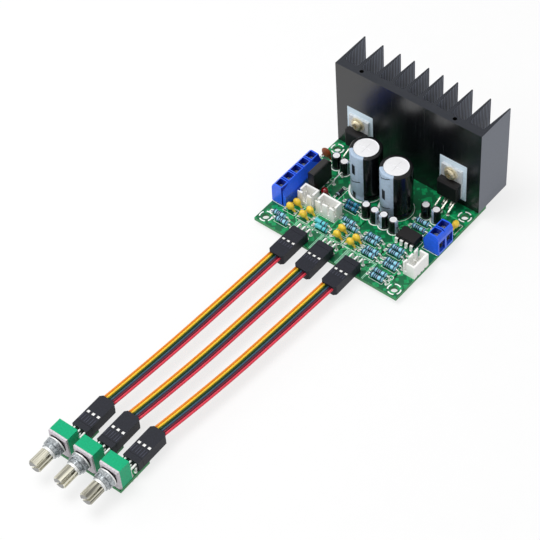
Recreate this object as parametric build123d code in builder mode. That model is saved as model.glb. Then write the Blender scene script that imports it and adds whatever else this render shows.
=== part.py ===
"""Stereo audio amplifier module with three dual controls on ribbon leads.

Millimetres. The origin is the centre of the board's four corner holes, in the plane of the
board's underside. +X runs along the heatsink to the right, +Y towards the heatsink, +Z up.
"""
from build123d import *
import os
from math import cos, radians, sin, tan

os.makedirs("parts", exist_ok=True)

# Circuit board
board_length = 75.0
board_width = 63.5
board_thickness = 1.6
hole_spacing_x = 68.0
hole_spacing_y = 49.5
hole_diameter = 3.2
board_front_margin = 3.5
board_front = -hole_spacing_y / 2 - board_front_margin
board_centre_y = board_front + board_width / 2
board_side = board_length / 2

# Leads of the components: every lead ends this far below the board, in a hole with this play
lead_tail = 1.8
hole_play = 0.12
lead_tip = -lead_tail
fine_lead = 0.5
stout_lead = 0.8

# Heatsink: a back plate that stands on the board, with fins behind it
sink_height = 45.5
sink_depth = 20.4
sink_plate = 4.0
sink_front = 29.75
fin_root = 2.0
fin_tip = 0.5
fin_root_fillet = 0.9
fin_places = (3.7, 11.1, 18.5, 27.6)
sink_screw_places = (-25.2, 22.6)
sink_screw_inset = 2.25
sink_bore_diameter = 1.9
sink_tapping_depth = 8.0

# Metric screws for the heatsink and the chips
screw_diameter = 3.0
thread_play = 0.05
screw_head_diameter = 5.4
screw_head_height = 1.6
head_wall_share = 0.5
head_shoulder_share = 0.82
head_flat_share = 0.6
screw_length_below = 8.0
cross_length = 2.9
cross_width = 0.8
cross_depth = 0.9

# Power chips: moulded body, metal tab and five leads, on an insulating pad
chip_places = (-24.8, 24.1)
pad_width = 13.6
pad_height = 20.2
pad_thickness = 0.25
pad_low = 5.1
chip_width = 10.2
chip_low = 6.8
chip_body_height = 8.8
chip_body_depth = 3.2
chip_draft = 0.7
tab_height = 15.5
tab_thickness = 1.3
tab_hole_drop = 2.9
tab_hole_play = 0.3
chip_screw_tail = 1.0
washer_diameter = 6.8
washer_thickness = 0.5
chip_lead_pitch = 1.7
chip_lead_width = 0.6
chip_lead_thickness = 0.5
chip_lead_setback = 2.45
chip_front_row = 21.6
chip_rear_row = 25.4
chip_front_bend = 5.0
chip_rear_bend = 3.6
chip_foot_bend = 2.7

# Reservoir capacitors
reservoir_places = ((-8.65, 12.96), (8.0, 11.73))
reservoir_radius = 7.1
reservoir_height = 25.6
reservoir_disc_radius = 5.45
reservoir_groove_height = 2.6
reservoir_lead_pitch = 7.5

# Small electrolytic capacitors
small_cap_places = ((0.1, 0.9), (4.9, 0.6), (9.5, 0.7), (14.5, 0.7),
                    (20.4, 15.6), (25.6, 15.9), (-27.6, 16.1), (-22.7, 15.3))
small_cap_radius = 2.05
small_cap_height = 6.9
small_cap_disc_radius = 1.55
small_cap_lead_pitch = 2.0
small_cap_groove_height = 1.1
can_stand_off = 0.1

# Dipped ceramic capacitors
ceramic_places = ((-27.5, -16.0), (-26.6, -12.5), (-20.2, -16.3), (-19.3, -12.8),
                  (-1.7, -16.7), (-2.1, -12.8), (5.3, -16.8), (6.1, -13.6))
edge_ceramic_place = (34.8, 16.9)
ceramic_radius = 1.9
ceramic_thickness = 2.5
ceramic_centre_height = 3.0
ceramic_lead_pitch = 5.08
ceramic_leg_start = 0.9
ceramic_leg_foot = 0.7
ceramic_coat_top = 0.75
ceramic_coat_foot = 0.34
disc_place = (-34.2, 17.4)
disc_radius = 2.6
disc_thickness = 1.9
disc_centre_height = 3.6

# Banded resistors, all along X
resistor_places = ((-29.3, -21.0), (-26.2, -23.5), (-12.0, -14.4), (-9.9, -16.9),
                   (-7.8, 2.0), (-7.0, -0.6), (-3.0, -6.9), (0.2, -9.4),
                   (10.8, -7.6), (10.8, -10.3), (14.6, -14.1), (14.4, -16.6),
                   (22.7, -7.1), (23.0, -9.9), (25.4, -14.2), (25.6, -16.7),
                   (24.6, -21.7), (24.9, -24.5), (22.0, 11.1), (22.8, 7.3))
resistor_length = 6.3
resistor_radius = 0.95
resistor_end_radius = 1.15
resistor_end_length = 1.3
resistor_lead_pitch = 9.6
resistor_axis_height = 1.3
lead_bend = 0.8

# Preamplifier chip with eight legs
preamp_place = (23.0, 0.3)
preamp_length = 9.4
preamp_width = 6.4
preamp_thickness = 3.3
preamp_stand_off = 0.5
preamp_draft = 7.0
leg_pitch = 2.54
leg_row_spacing = 7.8
leg_thickness = 0.28
leg_shoulder_width = 1.4
leg_tip_width = 0.5
leg_shoulder_drop = 2.1
notch_radius = 0.9
notch_depth = 0.4

# Upright bridge rectifier
bridge_place = (-25.3, 1.8)
bridge_thickness = 3.3
bridge_length = 11.8
bridge_low = 2.6
bridge_height = 11.4
bridge_bevel = 0.8
bridge_lead_pitch = 2.9

# Indicator lamp, diode and wire jumper
led_place = (-20.9, -0.8)
led_radius = 1.5
led_flange = 0.25
led_flange_height = 0.9
led_height = 4.9
led_lead_pitch = 2.54
diode_place = (-16.5, 3.9)
diode_length = 4.2
diode_radius = 0.95
diode_lead_pitch = 7.6
diode_axis_height = 1.1
jumper_place = (-22.0, 9.9)
jumper_length = 5.8
jumper_height = 2.6

# White pin sockets
socket_pitch = 2.5
socket_end_margin = 2.45
socket_width = 5.75
socket_height = 7.0
socket_wall = 0.9
socket_floor = 1.2
socket_key_width = 1.2
socket_key_height = 5.0
socket_end_slot_setback = 0.55
socket_foot_width = 1.0
socket_foot_height = 0.5
socket_pin = 0.64
socket_pin_height = 5.6
socket_names = ("two_way_socket", "three_way_socket", "edge_socket")
socket_pin_counts = (2, 3, 3)
socket_places = ((-24.4, -7.3), (-13.5, -7.4), (board_side - socket_width / 2, -10.85))
socket_turns = (0, 0, -90)

# Blue screw terminals
way_pitch = 5.08
terminal_overhang = 0.4
terminal_depth = 7.8
terminal_height = 10.6
terminal_entry_width = 3.9
terminal_entry_low = 1.15
terminal_entry_height = 5.5
terminal_entry_depth = 6.0
terminal_well = 3.6
terminal_groove_width = 0.5
terminal_groove_depth = 0.5
terminal_key_setback = 5.9
terminal_key_width = 0.8
terminal_key_depth = 0.45
terminal_lip = 0.2
terminal_brow = 0.8
terminal_crown_start = 2.0
terminal_crown_end = 5.6
terminal_foot_setback = 0.4
terminal_lip_share = 0.78
terminal_brow_share = 0.92
terminal_crown_share = 0.98
terminal_back_share = 0.55
terminal_names = ("power_terminal", "output_terminal")
terminal_way_counts = (5, 2)
terminal_sides = (-1, 1)
terminal_y_places = (-2.95, 5.7)
cage_width = 3.7
cage_depth = 4.4
cage_height = 5.3
cage_sheet = 0.6
cage_top = 0.9
cage_setback = 1.2
cage_gap = 0.1
cage_pin_width = 0.9
cage_pin_tail = 2.0
clamp_screw_radius = 1.25
clamp_head_radius = 1.7
clamp_head_height = 1.4
clamp_screw_reach = 1.4
clamp_running_gap = 0.04
clamp_slot_width = 0.6
clamp_slot_depth = 0.6

# Right-angle pin headers, two rows of three, on the board and on the controls' small boards
pin_pitch = 2.54
pin_size = 0.64
header_columns = 3
header_width = header_columns * pin_pitch
header_block_depth = 2.5
header_block_height = 5.1
header_block_setback = 0.5
header_stand_off = 0.15
low_row_height = header_stand_off + pin_pitch / 2
high_row_height = low_row_height + pin_pitch
low_row_pad = 0.75
row_pad_spacing = 2.54
pin_reach = 5.9
pin_tail = 2.0
pin_hole = 1.0
header_places = (-14.4, -0.7, 13.3)
block_play = 0.03

# Plugs on both ends of the ribbons, with a sleeve contact on every pin
plug_length = 14.4
plug_height = 2 * pin_pitch - 0.02
plug_width = header_width - 0.02
plug_cavity = 1.9
plug_cavity_depth = 12.4
plug_window_setback = 5.4
plug_window_width = 1.5
plug_window_length = 1.3
plug_bevel = 1.1
plug_gap = 0.1
contact_outer = 1.8
contact_bore = 0.72
contact_length = 7.5

# Controls: places of the front plates' back edges, their turn, and how far the plug is off centre
control_places = ((-19.4, -165.3), (-6.7, -164.9), (6.2, -164.2))
control_turn = 1.5
control_header_shift = 1.1
control_axis_height = 6.5
control_width = 9.2
control_height = 11.0
control_depth = 5.7
control_wall = 0.8
control_board_thickness = 1.6
control_board_length = 16.9
control_header_reach = 12.0
control_board_width = 9.4
plate_thickness = 1.4
plate_bevel = 0.6
plate_boss_radius = 4.0
plate_boss_height = 0.8
bushing_radius = 3.5
bushing_length = 4.9
control_washer_radius = 4.3
control_washer_thickness = 0.5
nut_across_flats = 8.0
nut_height = 1.9
nut_bevel_share = 0.98
thread_clearance = 0.05
knob_shaft_radius = 3.0
knob_shaft_length = 8.5
journal_radius = 2.3
journal_gap = 0.05
shaft_slot_width = 0.9
shaft_slot_depth = 7.2
shaft_slot_turn = 52
shaft_bevel = 0.5
shaft_collar_length = 1.1
knurl_count = 18
knurl_depth = 0.25
wafer_thickness = 0.8
wafer_front_gap = 1.4
wafer_spacing = 2.4
wafer_bore_radius = 2.6
rotor_radius = 3.4
rotor_thickness = 0.9
rotor_gap = 0.25
terminal_pin_width = 0.8
terminal_pin_thickness = 0.4
terminal_pin_pitch = 2.5
wafer_count = 2

# Ribbons: six wires side by side
ribbon_wires = 6
wire_pitch = 1.05
ribbon_thickness = 1.0
ribbon_exit_height = 3.95
ribbon_sag = 0.45
ribbon_run_in = 0.5

board_top = board_thickness
screw_radius = screw_diameter / 2
tapped_radius = screw_radius + thread_play


def save(piece, name):
    """Label a finished piece and write it as its own STEP file."""
    piece.label = name
    export_step(piece, "parts/" + name + ".step")


def square_spots(places, pitch, along_y=False):
    """The two lead places of every two-legged component in a list."""
    spots = []
    for x, y in places:
        for side in (-pitch / 2, pitch / 2):
            spots.append((x, y + side) if along_y else (x + side, y))
    return spots


def row_spots(x, y, count, pitch, turn=0):
    """A row of places centred on x, y, turned about the vertical."""
    angle = radians(turn)
    steps = [(number - (count - 1) / 2) * pitch for number in range(count)]
    return [(x + step * cos(angle), y + step * sin(angle)) for step in steps]


# Every lead place, from the same values as the pieces
fine_spots = square_spots(resistor_places, resistor_lead_pitch)
fine_spots += square_spots(ceramic_places + (disc_place,), ceramic_lead_pitch)
fine_spots += square_spots((edge_ceramic_place,), ceramic_lead_pitch, along_y=True)
fine_spots += square_spots(small_cap_places, small_cap_lead_pitch)
fine_spots += square_spots((led_place,), led_lead_pitch)
fine_spots += square_spots((diode_place,), diode_lead_pitch, along_y=True)
fine_spots += square_spots((jumper_place,), jumper_length, along_y=True)
stout_spots = square_spots(reservoir_places, reservoir_lead_pitch)
bridge_spots = row_spots(bridge_place[0], bridge_place[1], 4, bridge_lead_pitch, 90)
stout_spots += bridge_spots
leg_spots = []
for leg_side in (-leg_row_spacing / 2, leg_row_spacing / 2):
    leg_spots += row_spots(preamp_place[0], preamp_place[1] + leg_side, 4, leg_pitch)
socket_spots = []
for pin_count, socket_place, socket_turn in zip(socket_pin_counts, socket_places, socket_turns):
    socket_spots += row_spots(socket_place[0], socket_place[1], pin_count, socket_pitch, socket_turn)
header_back = board_front + header_block_setback + header_block_depth
header_spots = []
for header_x in header_places:
    for pad_row in (low_row_pad, low_row_pad + row_pad_spacing):
        header_spots += row_spots(header_x, header_back + pad_row, header_columns, pin_pitch)
chip_spots = []
for chip_x in chip_places:
    for lead_number in range(-2, 3):
        lead_y = chip_front_row if lead_number % 2 == 0 else chip_rear_row
        chip_spots.append((chip_x + lead_number * chip_lead_pitch, lead_y))
terminal_spots = []
terminal_ways = []
for way_count, way_side, terminal_y in zip(terminal_way_counts, terminal_sides,
                                           terminal_y_places):
    cage_x = way_side * (board_side + terminal_overhang - cage_setback - cage_depth / 2)
    for way_place in row_spots(cage_x, terminal_y, way_count, way_pitch, 90):
        terminal_ways.append((way_place[0], way_place[1], way_side))
        terminal_spots.append(way_place)
sink_screw_y = sink_front + sink_screw_inset
sink_screw_spots = [(x, sink_screw_y) for x in sink_screw_places]

# Circuit board, drilled for every lead and screw
with BuildPart() as main_board:
    with BuildSketch():
        with Locations((0, board_centre_y)):
            Rectangle(board_length, board_width)
        with GridLocations(hole_spacing_x, hole_spacing_y, 2, 2):
            Circle(hole_diameter / 2, mode=Mode.SUBTRACT)
        with Locations(*fine_spots):
            Circle(fine_lead / 2 + hole_play, mode=Mode.SUBTRACT)
        with Locations(*stout_spots):
            Circle(stout_lead / 2 + hole_play, mode=Mode.SUBTRACT)
        with Locations(*leg_spots):
            Circle(leg_tip_width * 0.6 + hole_play, mode=Mode.SUBTRACT)
        with Locations(*socket_spots, *header_spots):
            Circle(pin_hole / 2, mode=Mode.SUBTRACT)
        with Locations(*chip_spots):
            Circle(chip_lead_width * 0.6 + hole_play, mode=Mode.SUBTRACT)
        with Locations(*terminal_spots):
            Circle(cage_pin_width * 0.72 + hole_play, mode=Mode.SUBTRACT)
        with Locations(*sink_screw_spots):
            Circle(tapped_radius + hole_play, mode=Mode.SUBTRACT)
    extrude(amount=board_thickness)
save(main_board.part, "main_board")

# Heatsink: one extrusion with two screw bores up its plate, tapped at the foot, and two tapped
# holes through its face for the chips
chip_screw_height = chip_low + tab_height - tab_hole_drop
plate_back = sink_front + sink_plate
sink_rear = sink_front + sink_depth
with BuildPart() as heatsink:
    with BuildSketch(Plane.XY.offset(board_top)):
        with Locations((0, sink_front + sink_plate / 2)):
            Rectangle(board_length, sink_plate)
        for side in (-1, 1):
            for fin_x in fin_places:
                with BuildLine():
                    Polyline((side * fin_x - fin_root / 2, plate_back),
                             (side * fin_x + fin_root / 2, plate_back),
                             (side * fin_x + fin_tip / 2, sink_rear),
                             (side * fin_x - fin_tip / 2, sink_rear), close=True)
                make_face()
            with BuildLine():
                Polyline((side * board_side, plate_back), (side * board_side, sink_rear),
                         (side * (board_side - fin_tip), sink_rear),
                         (side * (board_side - fin_root), plate_back), close=True)
            make_face()
    extrude(amount=sink_height)
    root_edges = heatsink.edges().filter_by(Axis.Z).filter_by_position(
        Axis.Y, plate_back - fin_tip, plate_back + fin_tip)
    fillet(root_edges, radius=fin_root_fillet)
    with BuildSketch(Plane.XY.offset(board_top)):
        with Locations(*sink_screw_spots):
            Circle(sink_bore_diameter / 2)
    extrude(amount=sink_height, mode=Mode.SUBTRACT)
    with BuildSketch(Plane.XY.offset(board_top)):
        with Locations(*sink_screw_spots):
            Circle(tapped_radius)
    extrude(amount=sink_tapping_depth, mode=Mode.SUBTRACT)
    with BuildSketch(Plane.XZ.offset(-sink_front)):
        with Locations(*[(chip_x, chip_screw_height) for chip_x in chip_places]):
            Circle(tapped_radius)
    extrude(amount=-(sink_plate + chip_screw_tail), mode=Mode.SUBTRACT)
save(heatsink.part, "heatsink")


def pan_screw(length, head_radius, shank_radius):
    """A pan-head cross screw along +Z, its head below the plane z = 0."""
    with BuildPart() as screw:
        with BuildSketch(Plane.XZ):
            with BuildLine():
                Polyline((0, length), (shank_radius, length), (shank_radius, 0), (head_radius, 0))
                wall = -screw_head_height * head_wall_share
                flat = head_radius * head_flat_share
                Line((head_radius, 0), (head_radius, wall))
                ThreePointArc((head_radius, wall),
                              (head_radius * head_shoulder_share,
                               -screw_head_height * head_shoulder_share),
                              (flat, -screw_head_height))
                Polyline((flat, -screw_head_height), (0, -screw_head_height), (0, length))
            make_face()
        revolve(axis=Axis.Z)
        with BuildSketch(Plane.XY.offset(-screw_head_height)):
            Rectangle(cross_length, cross_width)
            Rectangle(cross_width, cross_length)
        extrude(amount=cross_depth, mode=Mode.SUBTRACT)
    return screw.part


sink_screw = pan_screw(board_thickness + screw_length_below - hole_play,
                       screw_head_diameter / 2, screw_radius)
with BuildPart() as heatsink_screws:
    with Locations(*[(x, y, 0) for x, y in sink_screw_spots]):
        add(sink_screw)
save(heatsink_screws.part, "heatsink_screws")

# Insulating pads behind the chips
pad_front = sink_front - pad_thickness
with BuildPart() as insulating_pads:
    with BuildSketch(Plane.XZ.offset(-sink_front)):
        with Locations(*[(chip_x, pad_low + pad_height / 2) for chip_x in chip_places]):
            Rectangle(pad_width, pad_height)
        with Locations(*[(chip_x, chip_screw_height) for chip_x in chip_places]):
            Circle(screw_radius + tab_hole_play, mode=Mode.SUBTRACT)
    extrude(amount=pad_thickness)
save(insulating_pads.part, "insulating_pads")

# Chip bodies: the moulding in front of the tab, with sloping front edges
tab_front = pad_front - tab_thickness
with BuildPart() as chip_bodies:
    with BuildSketch(Plane.XZ.offset(-tab_front)):
        with Locations(*[(chip_x, chip_low + chip_body_height / 2) for chip_x in chip_places]):
            Rectangle(chip_width, chip_body_height)
    extrude(amount=chip_body_depth)
    chamfer(chip_bodies.edges().filter_by(Axis.X).group_by(Axis.Y)[0].group_by(Axis.Z)[-1],
            length=chip_draft, length2=chip_draft * 1.6)
    chamfer(chip_bodies.edges().filter_by(Axis.Z).group_by(Axis.Y)[0], length=chip_draft / 2)
save(chip_bodies.part, "power_chip_bodies")

# Chip tabs and their bent leads
lead_exit = pad_front - chip_lead_setback


def chip_lead(row_y, bend_height, x):
    """One bent lead, from the underside of the moulding down through the board."""
    with BuildPart() as lead:
        with BuildSketch(Plane.YZ.offset(x - chip_lead_width / 2)):
            with BuildLine():
                FilletPolyline((lead_exit, chip_low), (lead_exit, bend_height),
                               (row_y, chip_foot_bend), (row_y, lead_tip), radius=0.5)
            trace(line_width=chip_lead_thickness)
        extrude(amount=chip_lead_width)
    return lead.part


with BuildPart() as lead_frames:
    with BuildSketch(Plane.XZ.offset(-pad_front)):
        with Locations(*[(chip_x, chip_low + tab_height / 2) for chip_x in chip_places]):
            Rectangle(chip_width, tab_height)
        with Locations(*[(chip_x, chip_screw_height) for chip_x in chip_places]):
            Circle(screw_radius + tab_hole_play, mode=Mode.SUBTRACT)
    extrude(amount=tab_thickness)
    for chip_x in chip_places:
        for lead_number in range(-2, 3):
            lead_x = chip_x + lead_number * chip_lead_pitch
            if lead_number % 2 == 0:
                add(chip_lead(chip_front_row, chip_front_bend, lead_x))
            else:
                add(chip_lead(chip_rear_row, chip_rear_bend, lead_x))
save(lead_frames.part, "power_chip_leads")

# Washers and screws that clamp the chips
with BuildPart() as chip_washers:
    with BuildSketch(Plane.XZ.offset(-tab_front)):
        with Locations(*[(chip_x, chip_screw_height) for chip_x in chip_places]):
            Circle(washer_diameter / 2)
            Circle(screw_radius + tab_hole_play, mode=Mode.SUBTRACT)
    extrude(amount=washer_thickness)
save(chip_washers.part, "chip_washers")

chip_screw_length = plate_back + chip_screw_tail - (tab_front - washer_thickness)
chip_screw = pan_screw(chip_screw_length, screw_head_diameter / 2, screw_radius)
with BuildPart() as chip_screws:
    for chip_x in chip_places:
        seat = Plane((chip_x, tab_front - washer_thickness, chip_screw_height),
                     x_dir=(1, 0, 0), z_dir=(0, 1, 0))
        add(seat.location * chip_screw)
save(chip_screws.part, "chip_screws")


def can_capacitor(radius, height, disc_radius, groove_height, lead_pitch, lead_width):
    """A sleeved can: rolled rim and bare disc on top, groove near the base, two leads."""
    low = board_top + can_stand_off
    high = low + height
    rim = (radius - disc_radius) * 0.45
    groove = radius * 0.05
    with BuildPart() as can:
        with BuildSketch(Plane.XZ):
            with BuildLine():
                Polyline((0, low), (radius - rim / 2, low), (radius, low + rim / 2),
                         (radius, low + groove_height - groove * 2),
                         (radius - groove, low + groove_height),
                         (radius, low + groove_height + groove * 2),
                         (radius, high - rim))
                RadiusArc((radius, high - rim), (radius - rim, high), -rim)
                Polyline((radius - rim, high), (disc_radius, high),
                         (disc_radius, high - rim / 3), (0, high - rim / 3), (0, low))
            make_face()
        revolve(axis=Axis.Z)
        with BuildSketch(Plane.XY.offset(lead_tip)):
            with Locations((-lead_pitch / 2, 0), (lead_pitch / 2, 0)):
                Circle(lead_width / 2)
        extrude(amount=low - lead_tip)
    return can.part


# Reservoir capacitors, with the vent cross scored into the disc
vent_width = 0.3
vent_depth = 0.2
reservoir = can_capacitor(reservoir_radius, reservoir_height, reservoir_disc_radius,
                          reservoir_groove_height, reservoir_lead_pitch, stout_lead)
for side_name, place in zip(("left", "right"), reservoir_places):
    with BuildPart() as reservoir_capacitor:
        with Locations((place[0], place[1], 0)):
            add(reservoir)
        disc_face = reservoir_capacitor.faces().filter_by(Axis.Z).sort_by(Axis.Z)[-2]
        with BuildSketch(Plane.XY.offset(disc_face.center().Z)):
            with Locations(place):
                Rectangle(reservoir_disc_radius * 1.3, vent_width)
                Rectangle(vent_width, reservoir_disc_radius * 1.3)
        extrude(amount=-vent_depth, mode=Mode.SUBTRACT)
    save(reservoir_capacitor.part, "reservoir_capacitor_" + side_name)

small_cap = can_capacitor(small_cap_radius, small_cap_height, small_cap_disc_radius,
                          small_cap_groove_height, small_cap_lead_pitch, fine_lead)
with BuildPart() as small_capacitors:
    with Locations(*[(x, y, 0) for x, y in small_cap_places]):
        add(small_cap)
save(small_capacitors.part, "small_capacitors")


def dipped_capacitor(radius, thickness, centre_height):
    """A lens-shaped dipped body facing along Y, its coating running down two spread legs."""
    centre = board_top + centre_height
    half_pitch = ceramic_lead_pitch / 2
    leg_top = (ceramic_leg_start, 0, centre - radius / 3)
    leg_foot = (half_pitch, 0, board_top + ceramic_leg_foot)
    with BuildPart() as capacitor:
        with BuildSketch(Plane.XY):
            with BuildLine():
                half = thickness / 2
                Polyline((radius * 0.35, -half), (0, -half), (0, half), (radius * 0.35, half))
                ThreePointArc((radius * 0.35, half), (radius * 0.82, half * 0.6), (radius, 0))
                ThreePointArc((radius, 0), (radius * 0.82, -half * 0.6), (radius * 0.35, -half))
            make_face()
        revolve(axis=Axis.Y)
    lens = Pos(0, 0, centre) * capacitor.part
    with BuildPart() as leg:
        with BuildLine():
            FilletPolyline((half_pitch, 0, lead_tip), leg_foot, leg_top, radius=fine_lead)
        with BuildSketch(Plane.XY.offset(lead_tip)):
            with Locations((half_pitch, 0)):
                Circle(fine_lead / 2)
        sweep()
        slope = Vector(*leg_top) - Vector(*leg_foot)
        with BuildSketch(Plane(leg_foot, z_dir=slope)):
            Circle(ceramic_coat_foot)
        with BuildSketch(Plane(leg_top, z_dir=slope)):
            Circle(ceramic_coat_top)
        loft()
    with BuildPart() as whole:
        add(lens)
        add(leg.part)
        add(leg.part.mirror(Plane.YZ))
    return whole.part


ceramic = dipped_capacitor(ceramic_radius, ceramic_thickness, ceramic_centre_height)
with BuildPart() as ceramic_capacitors:
    with Locations(*[(x, y, 0) for x, y in ceramic_places]):
        add(ceramic)
    with Locations(Location((*edge_ceramic_place, 0), (0, 0, 90))):
        add(ceramic)
    with Locations((*disc_place, 0)):
        add(dipped_capacitor(disc_radius, disc_thickness, disc_centre_height))
save(ceramic_capacitors.part, "ceramic_capacitors")


def axial_component(profile, axis_height, lead_pitch):
    """A turned body along X with leads that bend down through the board."""
    axis_z = board_top + axis_height
    half = lead_pitch / 2
    with BuildPart() as component:
        with BuildLine():
            FilletPolyline((-half, 0, lead_tip), (-half, 0, axis_z), (half, 0, axis_z),
                           (half, 0, lead_tip), radius=lead_bend)
        with BuildSketch(Plane.XY.offset(lead_tip)):
            with Locations((-half, 0)):
                Circle(fine_lead / 2)
        sweep()
        with BuildSketch(Plane.XZ):
            with BuildLine():
                Polyline(*[(x, axis_z + r) for x, r in profile], (profile[0][0], axis_z),
                         close=True)
            make_face()
        revolve(axis=Axis((0, 0, axis_z), (1, 0, 0)))
    return component.part


half_body = resistor_length / 2
end_step = half_body - resistor_end_length
resistor_profile = ((-half_body, 0), (-half_body, resistor_end_radius * 0.7),
                    (-half_body + 0.3, resistor_end_radius), (-end_step - 0.3, resistor_end_radius),
                    (-end_step, resistor_radius), (end_step, resistor_radius),
                    (end_step + 0.3, resistor_end_radius), (half_body - 0.3, resistor_end_radius),
                    (half_body, resistor_end_radius * 0.7), (half_body, 0))
resistor = axial_component(resistor_profile, resistor_axis_height, resistor_lead_pitch)
with BuildPart() as resistors:
    with Locations(*[(x, y, 0) for x, y in resistor_places]):
        add(resistor)
save(resistors.part, "resistors")

half_diode = diode_length / 2
diode_profile = ((-half_diode, 0), (-half_diode, diode_radius), (half_diode, diode_radius),
                 (half_diode, 0))
diode = axial_component(diode_profile, diode_axis_height, diode_lead_pitch)
signal_diode = Pos(*diode_place, 0) * Rot(0, 0, 90) * diode
save(signal_diode, "signal_diode")

# Wire jumper along Y
jumper_axis = board_top + jumper_height + fine_lead / 2
with BuildPart() as jumper:
    with BuildLine():
        FilletPolyline((0, -jumper_length / 2, lead_tip), (0, -jumper_length / 2, jumper_axis),
                       (0, jumper_length / 2, jumper_axis), (0, jumper_length / 2, lead_tip),
                       radius=lead_bend)
    with BuildSketch(Plane.XY.offset(lead_tip)):
        with Locations((0, -jumper_length / 2)):
            Circle(fine_lead / 2)
    sweep()
save(Pos(*jumper_place, 0) * jumper.part, "wire_jumper")

# Preamplifier chip: body with draft from its parting plane, notch at one end
preamp_low = board_top + preamp_stand_off
preamp_mid = preamp_low + preamp_thickness / 2
with BuildPart() as preamp_body:
    with BuildSketch(Plane.XY.offset(preamp_mid)):
        with Locations(preamp_place):
            Rectangle(preamp_length, preamp_width)
    extrude(amount=preamp_thickness / 2, taper=preamp_draft)
    with BuildSketch(Plane.XY.offset(preamp_mid)):
        with Locations(preamp_place):
            Rectangle(preamp_length, preamp_width)
    extrude(amount=-preamp_thickness / 2, taper=preamp_draft)
    with BuildSketch(Plane.XY.offset(preamp_low + preamp_thickness)):
        with Locations((preamp_place[0] - preamp_length / 2, preamp_place[1])):
            Circle(notch_radius)
    extrude(amount=-notch_depth, mode=Mode.SUBTRACT)
save(preamp_body.part, "preamp_chip_body")

# Its legs: a shoulder out of the side, a wide shank, a narrow tip through the board
with BuildPart() as preamp_legs:
    for leg_side in (-1, 1):
        side_y = preamp_place[1] + leg_side * leg_row_spacing / 2
        shoulder = (leg_row_spacing - preamp_width) / 2 + leg_thickness / 2
        for x, y in row_spots(preamp_place[0], side_y, 4, leg_pitch):
            with Locations((x, side_y + leg_side * (leg_thickness - shoulder) / 2, preamp_mid)):
                Box(leg_shoulder_width, shoulder, leg_thickness)
            with Locations((x, side_y, preamp_mid - leg_shoulder_drop / 2 + leg_thickness / 2)):
                Box(leg_shoulder_width, leg_thickness, leg_shoulder_drop)
            with Locations((x, side_y, (preamp_mid + lead_tip) / 2)):
                Box(leg_tip_width, leg_thickness, preamp_mid - lead_tip)
save(preamp_legs.part, "preamp_chip_legs")

# Bridge rectifier: an upright slab with a bevelled rim, and four straight leads
bridge_foot = board_top + bridge_low
with BuildPart() as bridge_body:
    with Locations((bridge_place[0], bridge_place[1], bridge_foot + bridge_height / 2)):
        Box(bridge_thickness, bridge_length, bridge_height)
    chamfer(bridge_body.edges().filter_by(Axis.Y).group_by(Axis.Z)[-1], length=bridge_bevel / 2)
    chamfer(bridge_body.edges().filter_by(Axis.X).group_by(Axis.Z)[-1].sort_by(Axis.Y)[-1],
            length=bridge_bevel * 2)
save(bridge_body.part, "bridge_rectifier_body")
with BuildPart() as bridge_leads:
    with BuildSketch(Plane.XY.offset(lead_tip)):
        with Locations(*bridge_spots):
            Circle(stout_lead / 2)
    extrude(amount=bridge_foot - lead_tip)
save(bridge_leads.part, "bridge_rectifier_leads")

# Indicator lamp: flange, barrel and dome on two leads
led_base = board_top + can_stand_off
with BuildPart() as led_body:
    with BuildSketch(Plane.XZ):
        with BuildLine():
            Polyline((0, led_base), (led_radius + led_flange, led_base),
                     (led_radius + led_flange, led_base + led_flange_height),
                     (led_radius, led_base + led_flange_height),
                     (led_radius, led_base + led_height - led_radius))
            RadiusArc((led_radius, led_base + led_height - led_radius),
                      (0, led_base + led_height), -led_radius)
            Line((0, led_base + led_height), (0, led_base))
        make_face()
    revolve(axis=Axis.Z)
    with BuildSketch(Plane.XY.offset(lead_tip)):
        with Locations((-led_lead_pitch / 2, 0), (led_lead_pitch / 2, 0)):
            Circle(fine_lead / 2)
    extrude(amount=led_base - lead_tip)
indicator_lamp = Pos(*led_place, 0) * led_body.part
save(indicator_lamp, "indicator_lamp")


def pin_socket(ways):
    """An open-topped shroud with a keyed front wall, its pins left out."""
    length = (ways - 1) * socket_pitch + 2 * socket_end_margin
    high = board_top + socket_height
    front = -socket_width / 2
    with BuildPart() as shroud:
        with BuildSketch(Plane.XY.offset(board_top)):
            Rectangle(length, socket_width)
        extrude(amount=socket_height)
        with BuildSketch(Plane.XY.offset(high)):
            Rectangle(length - 2 * socket_wall, socket_width - 2 * socket_wall)
        extrude(amount=-(socket_height - socket_floor), mode=Mode.SUBTRACT)
        key_x = (ways - 1) * socket_pitch / 2 - socket_key_width / 2
        with BuildSketch(Plane.XY.offset(high)):
            with Locations((-key_x, front + socket_wall / 2), (key_x, front + socket_wall / 2)):
                Rectangle(socket_key_width, socket_wall * 1.2)
            end_slot = front + socket_end_slot_setback + socket_key_width / 2
            with Locations((-length / 2, end_slot), (length / 2, end_slot)):
                Rectangle(socket_wall * 2.1, socket_key_width)
        extrude(amount=-socket_key_height, mode=Mode.SUBTRACT)
        with BuildSketch(Plane.XY.offset(board_top)):
            with Locations(*row_spots(0, -front, ways, socket_pitch)):
                Rectangle(socket_foot_width, socket_wall)
        extrude(amount=socket_foot_height, mode=Mode.SUBTRACT)
        with BuildSketch(Plane.XY.offset(board_top)):
            with Locations(*row_spots(0, 0, ways, socket_pitch)):
                Rectangle(socket_pin, socket_pin)
        extrude(amount=socket_floor, mode=Mode.SUBTRACT)
    return shroud.part


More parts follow.
